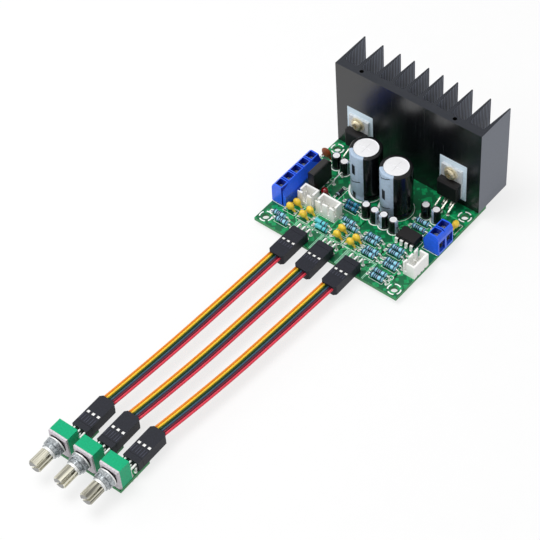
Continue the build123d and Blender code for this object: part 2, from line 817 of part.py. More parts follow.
for socket_name, pin_count, place, turn in zip(socket_names, socket_pin_counts, socket_places,
                                               socket_turns):
    save(Pos(*place, 0) * Rot(0, 0, turn) * pin_socket(pin_count), socket_name)
with BuildPart() as socket_pins:
    with BuildSketch(Plane.XY.offset(lead_tip)):
        with Locations(*socket_spots):
            Rectangle(socket_pin, socket_pin)
    extrude(amount=board_top + socket_pin_height - lead_tip)
    chamfer(socket_pins.faces().group_by(Axis.Z)[-1].edges(), length=socket_pin / 5)
save(socket_pins.part, "socket_pins")

# Screw terminals, drawn with the wire side towards -X and mirrored for the right-hand one
terminal_low = board_top
well_floor = terminal_low + terminal_entry_low + terminal_entry_height
cage_low = terminal_low + terminal_entry_low + cage_gap / 2
cage_high = cage_low + cage_height
cage_centre = cage_setback + cage_depth / 2


def terminal_housing(ways):
    """A row of ways along Y: wire chambers, screw wells, division grooves and end keys."""
    length = ways * way_pitch
    low = terminal_low
    deep = terminal_depth
    high = terminal_height
    with BuildPart() as housing:
        with BuildSketch(Plane.XZ.offset(length / 2)):
            with BuildLine():
                Polyline((0, low), (terminal_lip, low + high * terminal_lip_share),
                         (terminal_brow, low + high * terminal_brow_share),
                         (terminal_crown_start, low + high),
                         (terminal_crown_end, low + high * terminal_crown_share),
                         (deep, low + high * terminal_back_share),
                         (deep - terminal_foot_setback, low), close=True)
            make_face()
        extrude(amount=-length)
        for x, y in row_spots(0, 0, ways, way_pitch, 90):
            with Locations((terminal_entry_depth / 2, y,
                            low + terminal_entry_low + terminal_entry_height / 2)):
                Box(terminal_entry_depth, terminal_entry_width, terminal_entry_height,
                    mode=Mode.SUBTRACT)
            with Locations((cage_centre, y, well_floor + high / 2)):
                Box(terminal_well, terminal_well, high, mode=Mode.SUBTRACT)
            with Locations((cage_centre, y, low + terminal_entry_low / 2)):
                Box(cage_pin_width + cage_gap, cage_pin_width + cage_gap, terminal_entry_low,
                    mode=Mode.SUBTRACT)
        for number in range(1, ways):
            groove_y = (number - ways / 2) * way_pitch
            with Locations((0, groove_y, low + high - terminal_groove_depth)):
                Box(deep * 1.5, terminal_groove_width, terminal_groove_depth * 2,
                    mode=Mode.SUBTRACT)
        with Locations((terminal_key_setback, -length / 2, low + high / 2)):
            Box(terminal_key_width, terminal_key_depth * 2, high * 2, mode=Mode.SUBTRACT)
    return housing.part


for terminal_name, way_count, way_side, terminal_y in zip(terminal_names, terminal_way_counts,
                                                          terminal_sides, terminal_y_places):
    outer_face = Plane((way_side * (board_side + terminal_overhang), terminal_y, 0),
                       x_dir=(-way_side, 0, 0), z_dir=(0, 0, 1))
    save(outer_face.location * terminal_housing(way_count), terminal_name)

# Wire cages with their solder pins
with BuildPart() as cage:
    with Locations((0, 0, (cage_low + cage_high) / 2)):
        Box(cage_depth, cage_width, cage_height)
    chamber_height = cage_height - cage_sheet - cage_top
    with Locations((0, 0, cage_low + cage_sheet + chamber_height / 2)):
        Box(cage_depth, cage_width - 2 * cage_sheet, chamber_height, mode=Mode.SUBTRACT)
    with Locations((0, 0, cage_high - cage_top / 2)):
        Cylinder(clamp_screw_radius + clamp_running_gap, cage_top, mode=Mode.SUBTRACT)
    with Locations((0, 0, (cage_low - cage_pin_tail) / 2)):
        Box(cage_pin_width, cage_pin_width, cage_low + cage_pin_tail)
with BuildPart() as wire_cages:
    with Locations(*[(x, y, 0) for x, y, side in terminal_ways]):
        add(cage.part)
save(wire_cages.part, "wire_cages")

# Clamp screws: each turns in its own cage
head_low = cage_high + clamp_running_gap
with BuildPart() as clamp_screw:
    with BuildSketch(Plane.XY.offset(cage_high - cage_top - clamp_screw_reach)):
        Circle(clamp_screw_radius)
    extrude(amount=cage_top + clamp_screw_reach + clamp_running_gap)
    with BuildSketch(Plane.XY.offset(head_low)):
        Circle(clamp_head_radius)
    extrude(amount=clamp_head_height)
    chamfer(clamp_screw.edges().group_by(Axis.Z)[-1], length=0.25)
    with BuildSketch(Plane.XY.offset(head_low + clamp_head_height)):
        Rectangle(clamp_head_radius * 3, clamp_slot_width)
    extrude(amount=-clamp_slot_depth, mode=Mode.SUBTRACT)
for number, (x, y, side) in enumerate(terminal_ways, start=1):
    save(Pos(x, y, 0) * clamp_screw.part, "clamp_screw_" + str(number))


def header_block(back_y, low):
    """The insulator of a right-angle header, its pin side towards -Y."""
    centre = (0, back_y - header_block_depth / 2, low + header_stand_off
              + header_block_height / 2)
    with BuildPart() as block:
        with Locations(centre):
            Box(header_width, header_block_depth, header_block_height)
        with Locations(*[(x, centre[1], low + row) for x, y in row_spots(0, 0, header_columns, pin_pitch)
                         for row in (low_row_height, high_row_height)]):
            Box(pin_size + block_play, header_block_depth, pin_size + block_play,
                mode=Mode.SUBTRACT)
    return block.part


def header_pins(back_y, low, tip):
    """Two rows of bent square pins: out of the block towards -Y, down behind it."""
    with BuildPart() as pins:
        for row, pad in ((low_row_height, low_row_pad),
                         (high_row_height, low_row_pad + row_pad_spacing)):
            for x, y in row_spots(0, 0, header_columns, pin_pitch):
                with BuildSketch(Plane.YZ.offset(x - pin_size / 2)):
                    with BuildLine():
                        FilletPolyline((back_y - header_block_depth - pin_reach, low + row),
                                       (back_y + pad, low + row), (back_y + pad, tip),
                                       radius=pin_size)
                    trace(line_width=pin_size)
                extrude(amount=pin_size)
    return pins.part


board_block = header_block(header_back, board_top)
board_pins = header_pins(header_back, board_top, -pin_tail)
with BuildPart() as board_header_blocks:
    with Locations(*[(x, 0, 0) for x in header_places]):
        add(board_block)
save(board_header_blocks.part, "board_header_blocks")
with BuildPart() as board_header_pins:
    with Locations(*[(x, 0, 0) for x in header_places]):
        add(board_pins)
save(board_header_pins.part, "board_header_pins")

# Plug, its mouth at the origin towards +Y, its rows centred on the height of the pins
row_centre = (low_row_height + high_row_height) / 2
cavity_places = [(x, row - row_centre) for x, y in row_spots(0, 0, header_columns, pin_pitch)
                 for row in (low_row_height, high_row_height)]
with BuildPart() as plug:
    with Locations((0, -plug_length / 2, 0)):
        Box(plug_width, plug_length, plug_height)
    chamfer(plug.edges().filter_by(Axis.Z).group_by(Axis.Y)[0], length=plug_bevel)
    with BuildSketch(Plane.XZ):
        with Locations(*cavity_places):
            Rectangle(plug_cavity, plug_cavity)
    extrude(amount=plug_cavity_depth, mode=Mode.SUBTRACT)
    with Locations(*[(x, -plug_window_setback, 0) for x, y in row_spots(0, 0, header_columns,
                                                                        pin_pitch)]):
        Box(plug_window_width, plug_window_length, plug_height * 2, mode=Mode.SUBTRACT)
    with Locations((0, -plug_window_setback, 0)):
        Box(plug_width, plug_window_length * 2, pin_pitch - plug_cavity)
with BuildPart() as contact_set:
    with BuildSketch(Plane.XZ.offset(plug_cavity_depth - contact_length)):
        with Locations(*cavity_places):
            Rectangle(contact_outer, contact_outer)
            Rectangle(contact_bore, contact_bore, mode=Mode.SUBTRACT)
    extrude(amount=contact_length)

plug_height_above_board = board_top + row_centre
board_plug_mouth = board_front + header_block_setback - plug_gap
board_plug_names = ("board_plug_left", "board_plug_middle", "board_plug_right")
contact_locations = []
for plug_name, x in zip(board_plug_names, header_places):
    seat = Location((x, board_plug_mouth, plug_height_above_board))
    save(seat * plug.part, plug_name)
    contact_locations.append(seat)

# Places along one control's own axis: its shaft points along the control's -Y
control_sides = ("left", "middle", "right")
control_board_top = control_board_thickness
board_rear = control_board_length - plate_thickness
control_block_back = control_header_reach - header_block_depth
control_mouth = control_header_reach + plug_gap
control_row_height = control_board_top + row_centre


def turned_plane(place):
    """The control's own plane: z from the floor level of the board, -Y along its shaft."""
    return Location((place[0], place[1], 0), (0, 0, control_turn))


with BuildPart() as contacts:
    for seat in contact_locations:
        add(seat * contact_set.part)
    for place in control_places:
        add(turned_plane(place) * Pos(control_header_shift, control_mouth, control_row_height)
            * Rot(0, 0, 180) * contact_set.part)
save(contacts.part, "plug_contacts")
for side_name, place in zip(control_sides, control_places):
    seat = turned_plane(place) * Pos(control_header_shift, control_mouth, control_row_height)
    save(seat * Rot(0, 0, 180) * plug.part, "control_plug_" + side_name)

# Control housing: a green shell behind the plate, hollow for wafers and rotor
axis_z = control_board_top + control_axis_height
control_low = control_board_top
with BuildPart() as control_housing:
    with Locations((0, control_depth / 2, control_low + control_height / 2)):
        Box(control_width, control_depth, control_height)
    with Locations((0, (control_depth - control_wall) / 2, control_low + control_height / 2)):
        Box(control_width - 2 * control_wall, control_depth - control_wall,
            control_height - 2 * control_wall, mode=Mode.SUBTRACT)
    for number in range(wafer_count):
        pin_y = wafer_front_gap + number * wafer_spacing + wafer_thickness / 2
        for x, y in row_spots(0, 0, 3, terminal_pin_pitch):
            with Locations((x, pin_y, control_low)):
                Box(terminal_pin_width + cage_gap, terminal_pin_thickness + cage_gap,
                    control_wall * 2.2, mode=Mode.SUBTRACT)

# Front plate with its boss and threaded bushing
with BuildPart() as control_bushing:
    with Locations((0, -plate_thickness / 2, control_low + control_height / 2)):
        Box(control_width, plate_thickness, control_height)
    chamfer(control_bushing.faces().sort_by(Axis.Y)[0].edges(), length=plate_bevel)
    with BuildSketch(Plane.XZ.offset(plate_thickness)):
        with Locations((0, axis_z)):
            Circle(plate_boss_radius)
    extrude(amount=plate_boss_height)
    with BuildSketch(Plane.XZ.offset(plate_thickness)):
        with Locations((0, axis_z)):
            Circle(bushing_radius)
    extrude(amount=bushing_length)
    with BuildSketch(Plane.XZ):
        with Locations((0, axis_z)):
            Circle(journal_radius + journal_gap)
    extrude(amount=plate_thickness + bushing_length, mode=Mode.SUBTRACT)

# Flat washer and hex nut on the bushing
washer_back = plate_thickness + plate_boss_height
with BuildPart() as control_washer:
    with BuildSketch(Plane.XZ.offset(washer_back)):
        with Locations((0, axis_z)):
            Circle(control_washer_radius)
            Circle(bushing_radius + thread_clearance, mode=Mode.SUBTRACT)
    extrude(amount=control_washer_thickness)
with BuildPart() as control_nut:
    with BuildSketch(Plane.XZ.offset(washer_back + control_washer_thickness)):
        with Locations((0, axis_z)):
            RegularPolygon(nut_across_flats / 2, 6, major_radius=False)
    extrude(amount=nut_height)
    with BuildSketch(Plane.XZ.offset(washer_back + control_washer_thickness)):
        with Locations((0, axis_z)):
            Circle(nut_across_flats / 2 / cos(radians(30)) * nut_bevel_share)
    extrude(amount=nut_height, mode=Mode.INTERSECT)
    with BuildSketch(Plane.XZ.offset(washer_back + control_washer_thickness)):
        with Locations((0, axis_z)):
            Circle(bushing_radius + thread_clearance)
    extrude(amount=nut_height, mode=Mode.SUBTRACT)

# Shaft: a plain collar, a split and knurled grip, a journal in the bushing, and a rotor by
# each wafer
shaft_start = plate_thickness + bushing_length + journal_gap
shaft_end = shaft_start + knob_shaft_length
knurl_angles = [radians(180 * number / knurl_count) for number in range(2 * knurl_count)]
knurl_radii = [knob_shaft_radius - knurl_depth * (number % 2) for number in range(2 * knurl_count)]
end_radius = knob_shaft_radius - shaft_bevel
with BuildPart() as control_shaft:
    with BuildSketch(Plane.XZ.offset(shaft_start)):
        with BuildLine():
            Polyline(*[(radius * cos(angle), axis_z + radius * sin(angle))
                       for angle, radius in zip(knurl_angles, knurl_radii)], close=True)
        make_face()
    extrude(amount=knob_shaft_length)
    with Locations((0, (-shaft_start - shaft_end) / 2, axis_z)):
        Cone(end_radius, end_radius + knob_shaft_length, knob_shaft_length,
             rotation=(-90, 0, 0), mode=Mode.INTERSECT)
    with BuildSketch(Plane.XZ.offset(shaft_start)):
        with Locations((0, axis_z)):
            Circle(knob_shaft_radius)
    extrude(amount=shaft_collar_length)
    with Locations(Location((0, -shaft_end, axis_z), (0, shaft_slot_turn, 0))):
        Box(shaft_slot_width, shaft_slot_depth * 2, knob_shaft_radius * 3, mode=Mode.SUBTRACT)
    rotor_end = wafer_front_gap + (wafer_count - 1) * wafer_spacing - rotor_gap
    with BuildSketch(Plane.XZ.offset(shaft_start)):
        with Locations((0, axis_z)):
            Circle(journal_radius)
    extrude(amount=-(shaft_start + rotor_end))
    for number in range(wafer_count):
        rotor_back = wafer_front_gap + number * wafer_spacing - rotor_gap
        with BuildSketch(Plane.XZ.offset(-rotor_back)):
            with Locations((0, axis_z)):
                Circle(rotor_radius)
        extrude(amount=rotor_thickness)

# Resistance wafers with the shaft hole, and their bent-down terminals
with BuildPart() as wafers:
    wafer_side = control_width - 2 * control_wall - cage_gap
    wafer_tall = control_height - 2 * control_wall - cage_gap
    for number in range(wafer_count):
        with BuildSketch(Plane.XZ.offset(-(wafer_front_gap + number * wafer_spacing))):
            with Locations((0, control_low + control_height / 2)):
                Rectangle(wafer_side, wafer_tall)
            with Locations((0, axis_z)):
                Circle(wafer_bore_radius, mode=Mode.SUBTRACT)
        extrude(amount=-wafer_thickness)
with BuildPart() as wafer_terminals:
    for number in range(wafer_count):
        pin_y = wafer_front_gap + number * wafer_spacing + wafer_thickness / 2
        pin_high = control_low + control_wall + cage_gap / 2
        for x, y in row_spots(0, 0, 3, terminal_pin_pitch):
            with Locations((x, pin_y, (pin_high + lead_tip) / 2)):
                Box(terminal_pin_width, terminal_pin_thickness, pin_high - lead_tip)

# Small board under each control
control_pin_spots = []
for pad_row in (low_row_pad, low_row_pad + row_pad_spacing):
    control_pin_spots += row_spots(control_header_shift, control_block_back - pad_row,
                                   header_columns, pin_pitch)
wafer_pin_spots = []
for number in range(wafer_count):
    wafer_pin_spots += row_spots(0, wafer_front_gap + number * wafer_spacing + wafer_thickness / 2,
                                 3, terminal_pin_pitch)
with BuildPart() as control_board:
    with BuildSketch():
        with Locations((0, board_rear - control_board_length / 2)):
            Rectangle(control_board_width, control_board_length)
        with Locations(*control_pin_spots):
            Circle(pin_hole / 2, mode=Mode.SUBTRACT)
        with Locations(*wafer_pin_spots):
            Circle(terminal_pin_width * 0.6 + hole_play, mode=Mode.SUBTRACT)
    extrude(amount=control_board_thickness)

# Header on the small board, its pins towards the plug
turn_round = Pos(control_header_shift, control_block_back, 0) * Rot(0, 0, 180)
control_block = turn_round * header_block(0, control_board_top)
control_pins = turn_round * header_pins(0, control_board_top, -pin_tail)

separate = {"control_bushing": control_bushing.part, "control_shaft": control_shaft.part}
for piece_name, piece in separate.items():
    for side_name, place in zip(control_sides, control_places):
        save(turned_plane(place) * piece, piece_name + "_" + side_name)
grouped = {"control_housings": control_housing.part,
           "control_washers": control_washer.part, "control_nuts": control_nut.part,
           "resistance_wafers": wafers.part, "wafer_terminals": wafer_terminals.part,
           "control_boards": control_board.part, "control_header_blocks": control_block,
           "control_header_pins": control_pins}
for group_name, piece in grouped.items():
    with BuildPart() as group:
        for place in control_places:
            add(turned_plane(place) * piece)
    save(group.part, group_name)

# Ribbons: each hangs nearly straight from plug to plug, a little lower in the middle
ribbon_z = board_top + ribbon_exit_height
ribbon_low = ribbon_z - ribbon_sag
board_exit = board_plug_mouth - plug_length
ribbon_bends = {"ribbon_left": ((-15.5, -72.0), (-17.1, -111.0)),
                "ribbon_middle": ((-1.9, -72.0), (-3.7, -111.0)),
                "ribbon_right": ((11.9, -72.0), (9.6, -111.0))}
for (ribbon_name, bends), header_x, place in zip(ribbon_bends.items(), header_places,
                                                 control_places):
    plug_seat = turned_plane(place) * Pos(control_header_shift, control_mouth, control_row_height)
    far_end = (turned_plane(place) * Pos(control_header_shift, control_mouth + plug_length,
                                         ribbon_z)).position
    points = [Vector(header_x, board_exit, ribbon_z)]
    points += [Vector(x, y, ribbon_low) for x, y in bends]
    points.append(far_end)
    radii = []
    for before, corner, after in zip(points, points[1:], points[2:]):
        turn = (corner - before).get_angle(after - corner)
        shorter = min((corner - before).length, (after - corner).length)
        radii.append(0.45 * shorter / tan(radians(turn / 2)))
    print(ribbon_name, "radii", [round(radius) for radius in radii],
          "run lengths", [round((b - a).length, 1) for a, b in zip(points, points[1:])])
    with BuildPart() as ribbon:
        with BuildLine() as ribbon_path:
            FilletPolyline(*points, radius=radii)
        start = Plane(points[0], x_dir=(1, 0, 0), z_dir=(0, -1, 0))
        with BuildSketch(start):
            Rectangle(ribbon_wires * wire_pitch, ribbon_thickness)
        sweep()
        extrude(ribbon.faces().sort_by(Axis.Y)[0], amount=ribbon_run_in)
        add(plug_seat * Rot(0, 0, 180) * plug.part, mode=Mode.SUBTRACT)
    print(ribbon_name, "length", round(ribbon_path.wires()[0].length, 2),
          "volume over section", round(ribbon.part.volume / (ribbon_wires * wire_pitch
                                                             * ribbon_thickness), 2))
    save(ribbon.part, ribbon_name)
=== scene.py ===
"""Looks of the amplifier module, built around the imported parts. Metres, in the part's own frame."""
from math import cos, pi, radians, sin

import bmesh
import bpy
from mathutils import Matrix, Vector


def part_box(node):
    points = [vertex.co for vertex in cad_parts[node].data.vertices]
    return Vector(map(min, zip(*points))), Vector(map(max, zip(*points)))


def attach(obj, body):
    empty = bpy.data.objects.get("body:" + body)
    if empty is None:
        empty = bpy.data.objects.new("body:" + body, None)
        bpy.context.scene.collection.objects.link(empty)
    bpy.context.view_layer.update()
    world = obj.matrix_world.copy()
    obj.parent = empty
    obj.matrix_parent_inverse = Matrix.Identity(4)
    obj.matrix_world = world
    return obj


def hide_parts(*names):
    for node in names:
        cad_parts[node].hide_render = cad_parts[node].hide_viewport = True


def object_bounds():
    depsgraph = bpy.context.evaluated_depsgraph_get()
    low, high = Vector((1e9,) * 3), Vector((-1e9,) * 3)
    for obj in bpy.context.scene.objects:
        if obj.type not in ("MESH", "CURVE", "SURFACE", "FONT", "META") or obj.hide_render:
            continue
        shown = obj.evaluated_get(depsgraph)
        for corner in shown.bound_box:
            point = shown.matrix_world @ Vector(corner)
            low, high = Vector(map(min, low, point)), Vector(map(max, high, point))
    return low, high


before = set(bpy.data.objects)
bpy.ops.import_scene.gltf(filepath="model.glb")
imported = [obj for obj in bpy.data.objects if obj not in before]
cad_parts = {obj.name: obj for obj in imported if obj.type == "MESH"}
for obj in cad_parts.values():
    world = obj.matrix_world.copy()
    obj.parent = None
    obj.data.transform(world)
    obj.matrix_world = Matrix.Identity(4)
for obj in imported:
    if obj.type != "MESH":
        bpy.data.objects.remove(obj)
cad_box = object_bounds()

MM = 0.001
BODY = "module"
BOARD_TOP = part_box("main_board")[1].z
BOARD_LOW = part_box("main_board")[0].z
SURFACE_GAP = 0.03 * MM
PRINT_LIFT = BOARD_TOP + SURFACE_GAP


# Camera and light

CAMERA_PLACE = Vector((0.31992, -0.40148, 0.56554))
CAMERA_AZIMUTH = radians(43.240)
CAMERA_ELEVATION = radians(49.213)
CAMERA_ROLL = radians(-5.060)
CAMERA_LENS = 119.948
SENSOR_WIDTH = 36
WORLD_LEVEL = 0.5
FLOOR_GLOW = 0.75
FLOOR_HALF = 3.0
FLOOR_GAP = 0.02 * MM
LIGHT_AIM = (0, -0.05, 0)


def make_camera():
    """The photograph's own viewpoint, with a long lens and a slight roll."""
    back = Vector((sin(CAMERA_AZIMUTH) * cos(CAMERA_ELEVATION),
                   -cos(CAMERA_AZIMUTH) * cos(CAMERA_ELEVATION), sin(CAMERA_ELEVATION)))
    right = Vector((cos(CAMERA_AZIMUTH), sin(CAMERA_AZIMUTH), 0))
    up = back.cross(right)
    rolled_right = right * cos(CAMERA_ROLL) + up * sin(CAMERA_ROLL)
    rolled_up = up * cos(CAMERA_ROLL) - right * sin(CAMERA_ROLL)
    data = bpy.data.cameras.new("camera")
    data.lens = CAMERA_LENS
    data.sensor_width = SENSOR_WIDTH
    data.clip_start = 0.01
    data.clip_end = 20
    camera = bpy.data.objects.new("camera", data)
    camera.matrix_world = Matrix.Translation(CAMERA_PLACE) @ Matrix(
        (rolled_right, rolled_up, back)).transposed().to_4x4()
    bpy.context.scene.collection.objects.link(camera)
    bpy.context.scene.camera = camera


def area_light(name, place, size, power):
    """A soft square white light at a place, turned towards the object."""
    data = bpy.data.lights.new(name, "AREA")
    data.shape = "SQUARE"
    data.size = size
    data.energy = power
    light = bpy.data.objects.new(name, data)
    light.location = place
    light.rotation_euler = (Vector(LIGHT_AIM) - Vector(place)).to_track_quat("-Z", "Y").to_euler()
    bpy.context.scene.collection.objects.link(light)


def seen_directly(tree):
    """One for camera, glossy and transmission rays, which see the pale surroundings as white."""
    rays = tree.nodes.new("ShaderNodeLightPath")
    total = rays.outputs["Is Camera Ray"]
    for name in ("Is Glossy Ray", "Is Transmission Ray"):
        either = tree.nodes.new("ShaderNodeMath")
        either.operation = "MAXIMUM"
        tree.links.new(total, either.inputs[0])
        tree.links.new(rays.outputs[name], either.inputs[1])
        total = either.outputs["Value"]
    return total


def make_studio():
    """Pale surroundings, one large soft light above and a smaller one from the left."""
    world = bpy.data.worlds.new("studio")
    world.use_nodes = True
    tree = world.node_tree
    background = tree.nodes["Background"]
    background.inputs["Color"].default_value = (1, 1, 1, 1)
    strength = tree.nodes.new("ShaderNodeMapRange")
    strength.inputs["To Min"].default_value = WORLD_LEVEL
    strength.inputs["To Max"].default_value = 1.0
    tree.links.new(seen_directly(tree), strength.inputs["Value"])
    tree.links.new(strength.outputs["Result"], background.inputs["Strength"])
    bpy.context.scene.world = world
    area_light("overhead", (-0.2, -0.2, 0.9), 0.5, 5.0)
    area_light("left_fill", (-0.7, -0.5, 0.35), 0.4, 1.6)
    bpy.context.scene.view_settings.view_transform = "Standard"
    bpy.context.scene.view_settings.look = "None"


def make_floor():
    """A plain pale sheet under everything."""
    low = cad_box[0][2] - FLOOR_GAP
    mesh = bpy.data.meshes.new("floor")
    mesh.from_pydata([(x * FLOOR_HALF, y * FLOOR_HALF, low)
                      for x, y in ((-1, -1), (1, -1), (1, 1), (-1, 1))], [], [(0, 1, 2, 3)])
    floor = bpy.data.objects.new("floor", mesh)
    white = surface("floor_white", (248, 248, 248), 0.9, variation=0.01, grain=8 * MM)
    tree = white.node_tree
    glow = tree.nodes.new("ShaderNodeEmission")
    blend = tree.nodes.new("ShaderNodeMixShader")
    share = tree.nodes.new("ShaderNodeMath")
    share.operation = "MULTIPLY"
    share.inputs[1].default_value = FLOOR_GLOW
    tree.links.new(seen_directly(tree), share.inputs[0])
    tree.links.new(share.outputs["Value"], blend.inputs["Fac"])
    tree.links.new(tree.nodes["Principled BSDF"].outputs["BSDF"], blend.inputs[1])
    tree.links.new(glow.outputs["Emission"], blend.inputs[2])
    tree.links.new(blend.outputs["Shader"], tree.nodes["Material Output"].inputs["Surface"])
    floor.data.materials.append(white)
    bpy.context.scene.collection.objects.link(floor)


# Materials

COPPER_PATCH = 3.2 * MM
COPPER_EDGE = 0.62
RIB_PITCH = 1.15 * MM
RIB_RELIEF = 0.15 * MM
# Waves that the wave texture makes in one unit at a scale of 1
WAVES_PER_UNIT = 20 / (2 * pi)


def linear(colour):
    """A colour given as 0 to 255 on a screen, as the shader takes it."""
    parts = [part / 255 for part in colour]
    return tuple(part / 12.92 if part <= 0.04045 else ((part + 0.055) / 1.055) ** 2.4
                 for part in parts)


def surface(name, colour, roughness, metallic=0.0, variation=0.12, grain=0.6 * MM, bump=0.05,
            stretch=(1, 1, 1), rough_spread=0.08, **sockets):
    """A shader whose colour, roughness and relief vary with a fine grain."""
    material = bpy.data.materials.new(name)
    material.use_nodes = True
    tree = material.node_tree
    shader = tree.nodes["Principled BSDF"]
    shader.inputs["Metallic"].default_value = metallic
    for socket, value in sockets.items():
        shader.inputs[socket.replace("_", " ")].default_value = value
    place = tree.nodes.new("ShaderNodeTexCoord")
    mapping = tree.nodes.new("ShaderNodeMapping")
    mapping.inputs["Scale"].default_value = stretch
    tree.links.new(place.outputs["Object"], mapping.inputs["Vector"])
    noise = tree.nodes.new("ShaderNodeTexNoise")
    noise.inputs["Scale"].default_value = 1 / grain
    noise.inputs["Detail"].default_value = 3
    tree.links.new(mapping.outputs["Vector"], noise.inputs["Vector"])
    ramp = tree.nodes.new("ShaderNodeValToRGB")
    base = linear(colour)
    ramp.color_ramp.elements[0].position = 0.3
    ramp.color_ramp.elements[0].color = (*[part * (1 - variation) for part in base], 1)
    ramp.color_ramp.elements[1].position = 0.7
    ramp.color_ramp.elements[1].color = (*[min(1, part * (1 + variation)) for part in base], 1)
    tree.links.new(noise.outputs["Fac"], ramp.inputs["Fac"])
    tree.links.new(ramp.outputs["Color"], shader.inputs["Base Color"])
    spread = tree.nodes.new("ShaderNodeMapRange")
    spread.inputs["To Min"].default_value = max(0.02, roughness - rough_spread)
    spread.inputs["To Max"].default_value = min(1.0, roughness + rough_spread)
    tree.links.new(noise.outputs["Fac"], spread.inputs["Value"])
    tree.links.new(spread.outputs["Result"], shader.inputs["Roughness"])
    relief = tree.nodes.new("ShaderNodeBump")
    relief.inputs["Strength"].default_value = 0.4
    relief.inputs["Distance"].default_value = bump * MM
    tree.links.new(noise.outputs["Fac"], relief.inputs["Height"])
    tree.links.new(relief.outputs["Normal"], shader.inputs["Normal"])
    return material


def mask_material():
    """Green lacquer: lighter where copper lies under it, in sharp-edged shapes."""
    material = surface("solder_mask", (6, 148, 86), 0.35, variation=0.25, grain=1.3 * MM, bump=0.02,
                       Specular_IOR_Level=0.3, Coat_Weight=0.12, Coat_Roughness=0.15)
    tree = material.node_tree
    shader = tree.nodes["Principled BSDF"]
    base = shader.inputs["Base Color"].links[0].from_socket
    place = tree.nodes.new("ShaderNodeTexCoord")
    copper = tree.nodes.new("ShaderNodeTexVoronoi")
    copper.distance = "MANHATTAN"
    copper.inputs["Scale"].default_value = 1 / COPPER_PATCH
    tree.links.new(place.outputs["Object"], copper.inputs["Vector"])
    edge = tree.nodes.new("ShaderNodeValToRGB")
    edge.color_ramp.interpolation = "CONSTANT"
    edge.color_ramp.elements[0].color = (0, 0, 0, 1)
    edge.color_ramp.elements[1].position = COPPER_EDGE
    edge.color_ramp.elements[1].color = (1, 1, 1, 1)
    tree.links.new(copper.outputs["Distance"], edge.inputs["Fac"])
    mix = tree.nodes.new("ShaderNodeMix")
    mix.data_type = "RGBA"
    mix.inputs["B"].default_value = (*linear((3, 100, 60)), 1)
    tree.links.new(edge.outputs["Color"], mix.inputs["Factor"])
    tree.links.new(base, mix.inputs["A"])
    tree.links.new(mix.outputs["Result"], shader.inputs["Base Color"])
    return material


def ribbed_material():
    """The fins' flanks and the heatsink's back: fine upright ribs on a grey copy of the black
    anodising, which is a painted sheen, with painted shade darkening their grooves.
    """
    # The grey base is a painted sheen: the flanks are black anodised like the front.
    material = surface("ribbed_sheen_and_groove_shade", (134, 141, 158), 0.5, variation=0.3, grain=0.9 * MM,
                       bump=0.03, stretch=(1, 1, 0.02), Specular_IOR_Level=0.15)
    tree = material.node_tree
    shader = tree.nodes["Principled BSDF"]
    place = tree.nodes.new("ShaderNodeTexCoord")
    ribs = tree.nodes.new("ShaderNodeTexWave")
    ribs.bands_direction = "Y"
    ribs.inputs["Scale"].default_value = 1 / (WAVES_PER_UNIT * RIB_PITCH)
    ribs.inputs["Distortion"].default_value = 0.6
    tree.links.new(place.outputs["Object"], ribs.inputs["Vector"])
    mix = tree.nodes.new("ShaderNodeMix")
    mix.data_type = "RGBA"
    # Near-black in the grooves: painted shade.
    mix.inputs["A"].default_value = (*linear((4, 5, 8)), 1)
    base = shader.inputs["Base Color"].links[0].from_socket
    tree.links.new(ribs.outputs["Fac"], mix.inputs["Factor"])
    tree.links.new(base, mix.inputs["B"])
    tree.links.new(mix.outputs["Result"], shader.inputs["Base Color"])
    relief = tree.nodes.new("ShaderNodeBump")
    relief.inputs["Strength"].default_value = 0.5
    relief.inputs["Distance"].default_value = RIB_RELIEF
    tree.links.new(ribs.outputs["Fac"], relief.inputs["Height"])
    tree.links.new(relief.outputs["Normal"], shader.inputs["Normal"])
    return material


MASK = mask_material()
TRACE = surface("lacquered_trace", (56, 184, 116), 0.35, variation=0.15, Specular_IOR_Level=0.3)
LAMINATE = surface("laminate_edge", (58, 138, 84), 0.6)
PRINT = surface("board_print", (246, 251, 247), 0.55, variation=0.05)
PRINT_LINE = surface("board_print_line", (176, 236, 204), 0.5, variation=0.06)
SOLDER = surface("solder", (216, 218, 214), 0.36, metallic=0.6, variation=0.2, grain=0.9 * MM,
                 bump=0.01)
TIN = surface("tinned_wire", (226, 226, 220), 0.35, metallic=0.5, variation=0.2, grain=1.5 * MM,
              bump=0.005)
CHIP_LEAD = surface("chip_lead", (184, 183, 172), 0.36, metallic=0.6, variation=0.2,
                    grain=2.0 * MM, bump=0.005)
BRIGHT_TIN = surface("bright_contact", (252, 252, 249), 0.45, metallic=0.1, variation=0.04,
                     grain=1.2 * MM, bump=0.005)
STEEL = surface("plated_steel", (172, 180, 186), 0.28, metallic=0.9, variation=0.25,
                grain=0.8 * MM, bump=0.02)
DARK_STEEL = surface("dark_steel", (158, 163, 166), 0.26, metallic=0.95, variation=0.5,
                     grain=0.7 * MM, bump=0.02)
WASHER_STEEL = surface("bright_washer", (240, 241, 240), 0.38, metallic=0.4, variation=0.06)
PLATE = surface("control_plate", (190, 184, 190), 0.42, metallic=0.6, variation=0.2,
                grain=0.7 * MM)
# Flat black: on the control bushings it is a painted shadow in the gap behind the washer; in the
# heatsink's bores it is the anodising's own black.
BLACK_SHADOW_AND_BORE = surface("black_shadow_and_bore", (10, 10, 11), 0.7, Specular_IOR_Level=0.15)
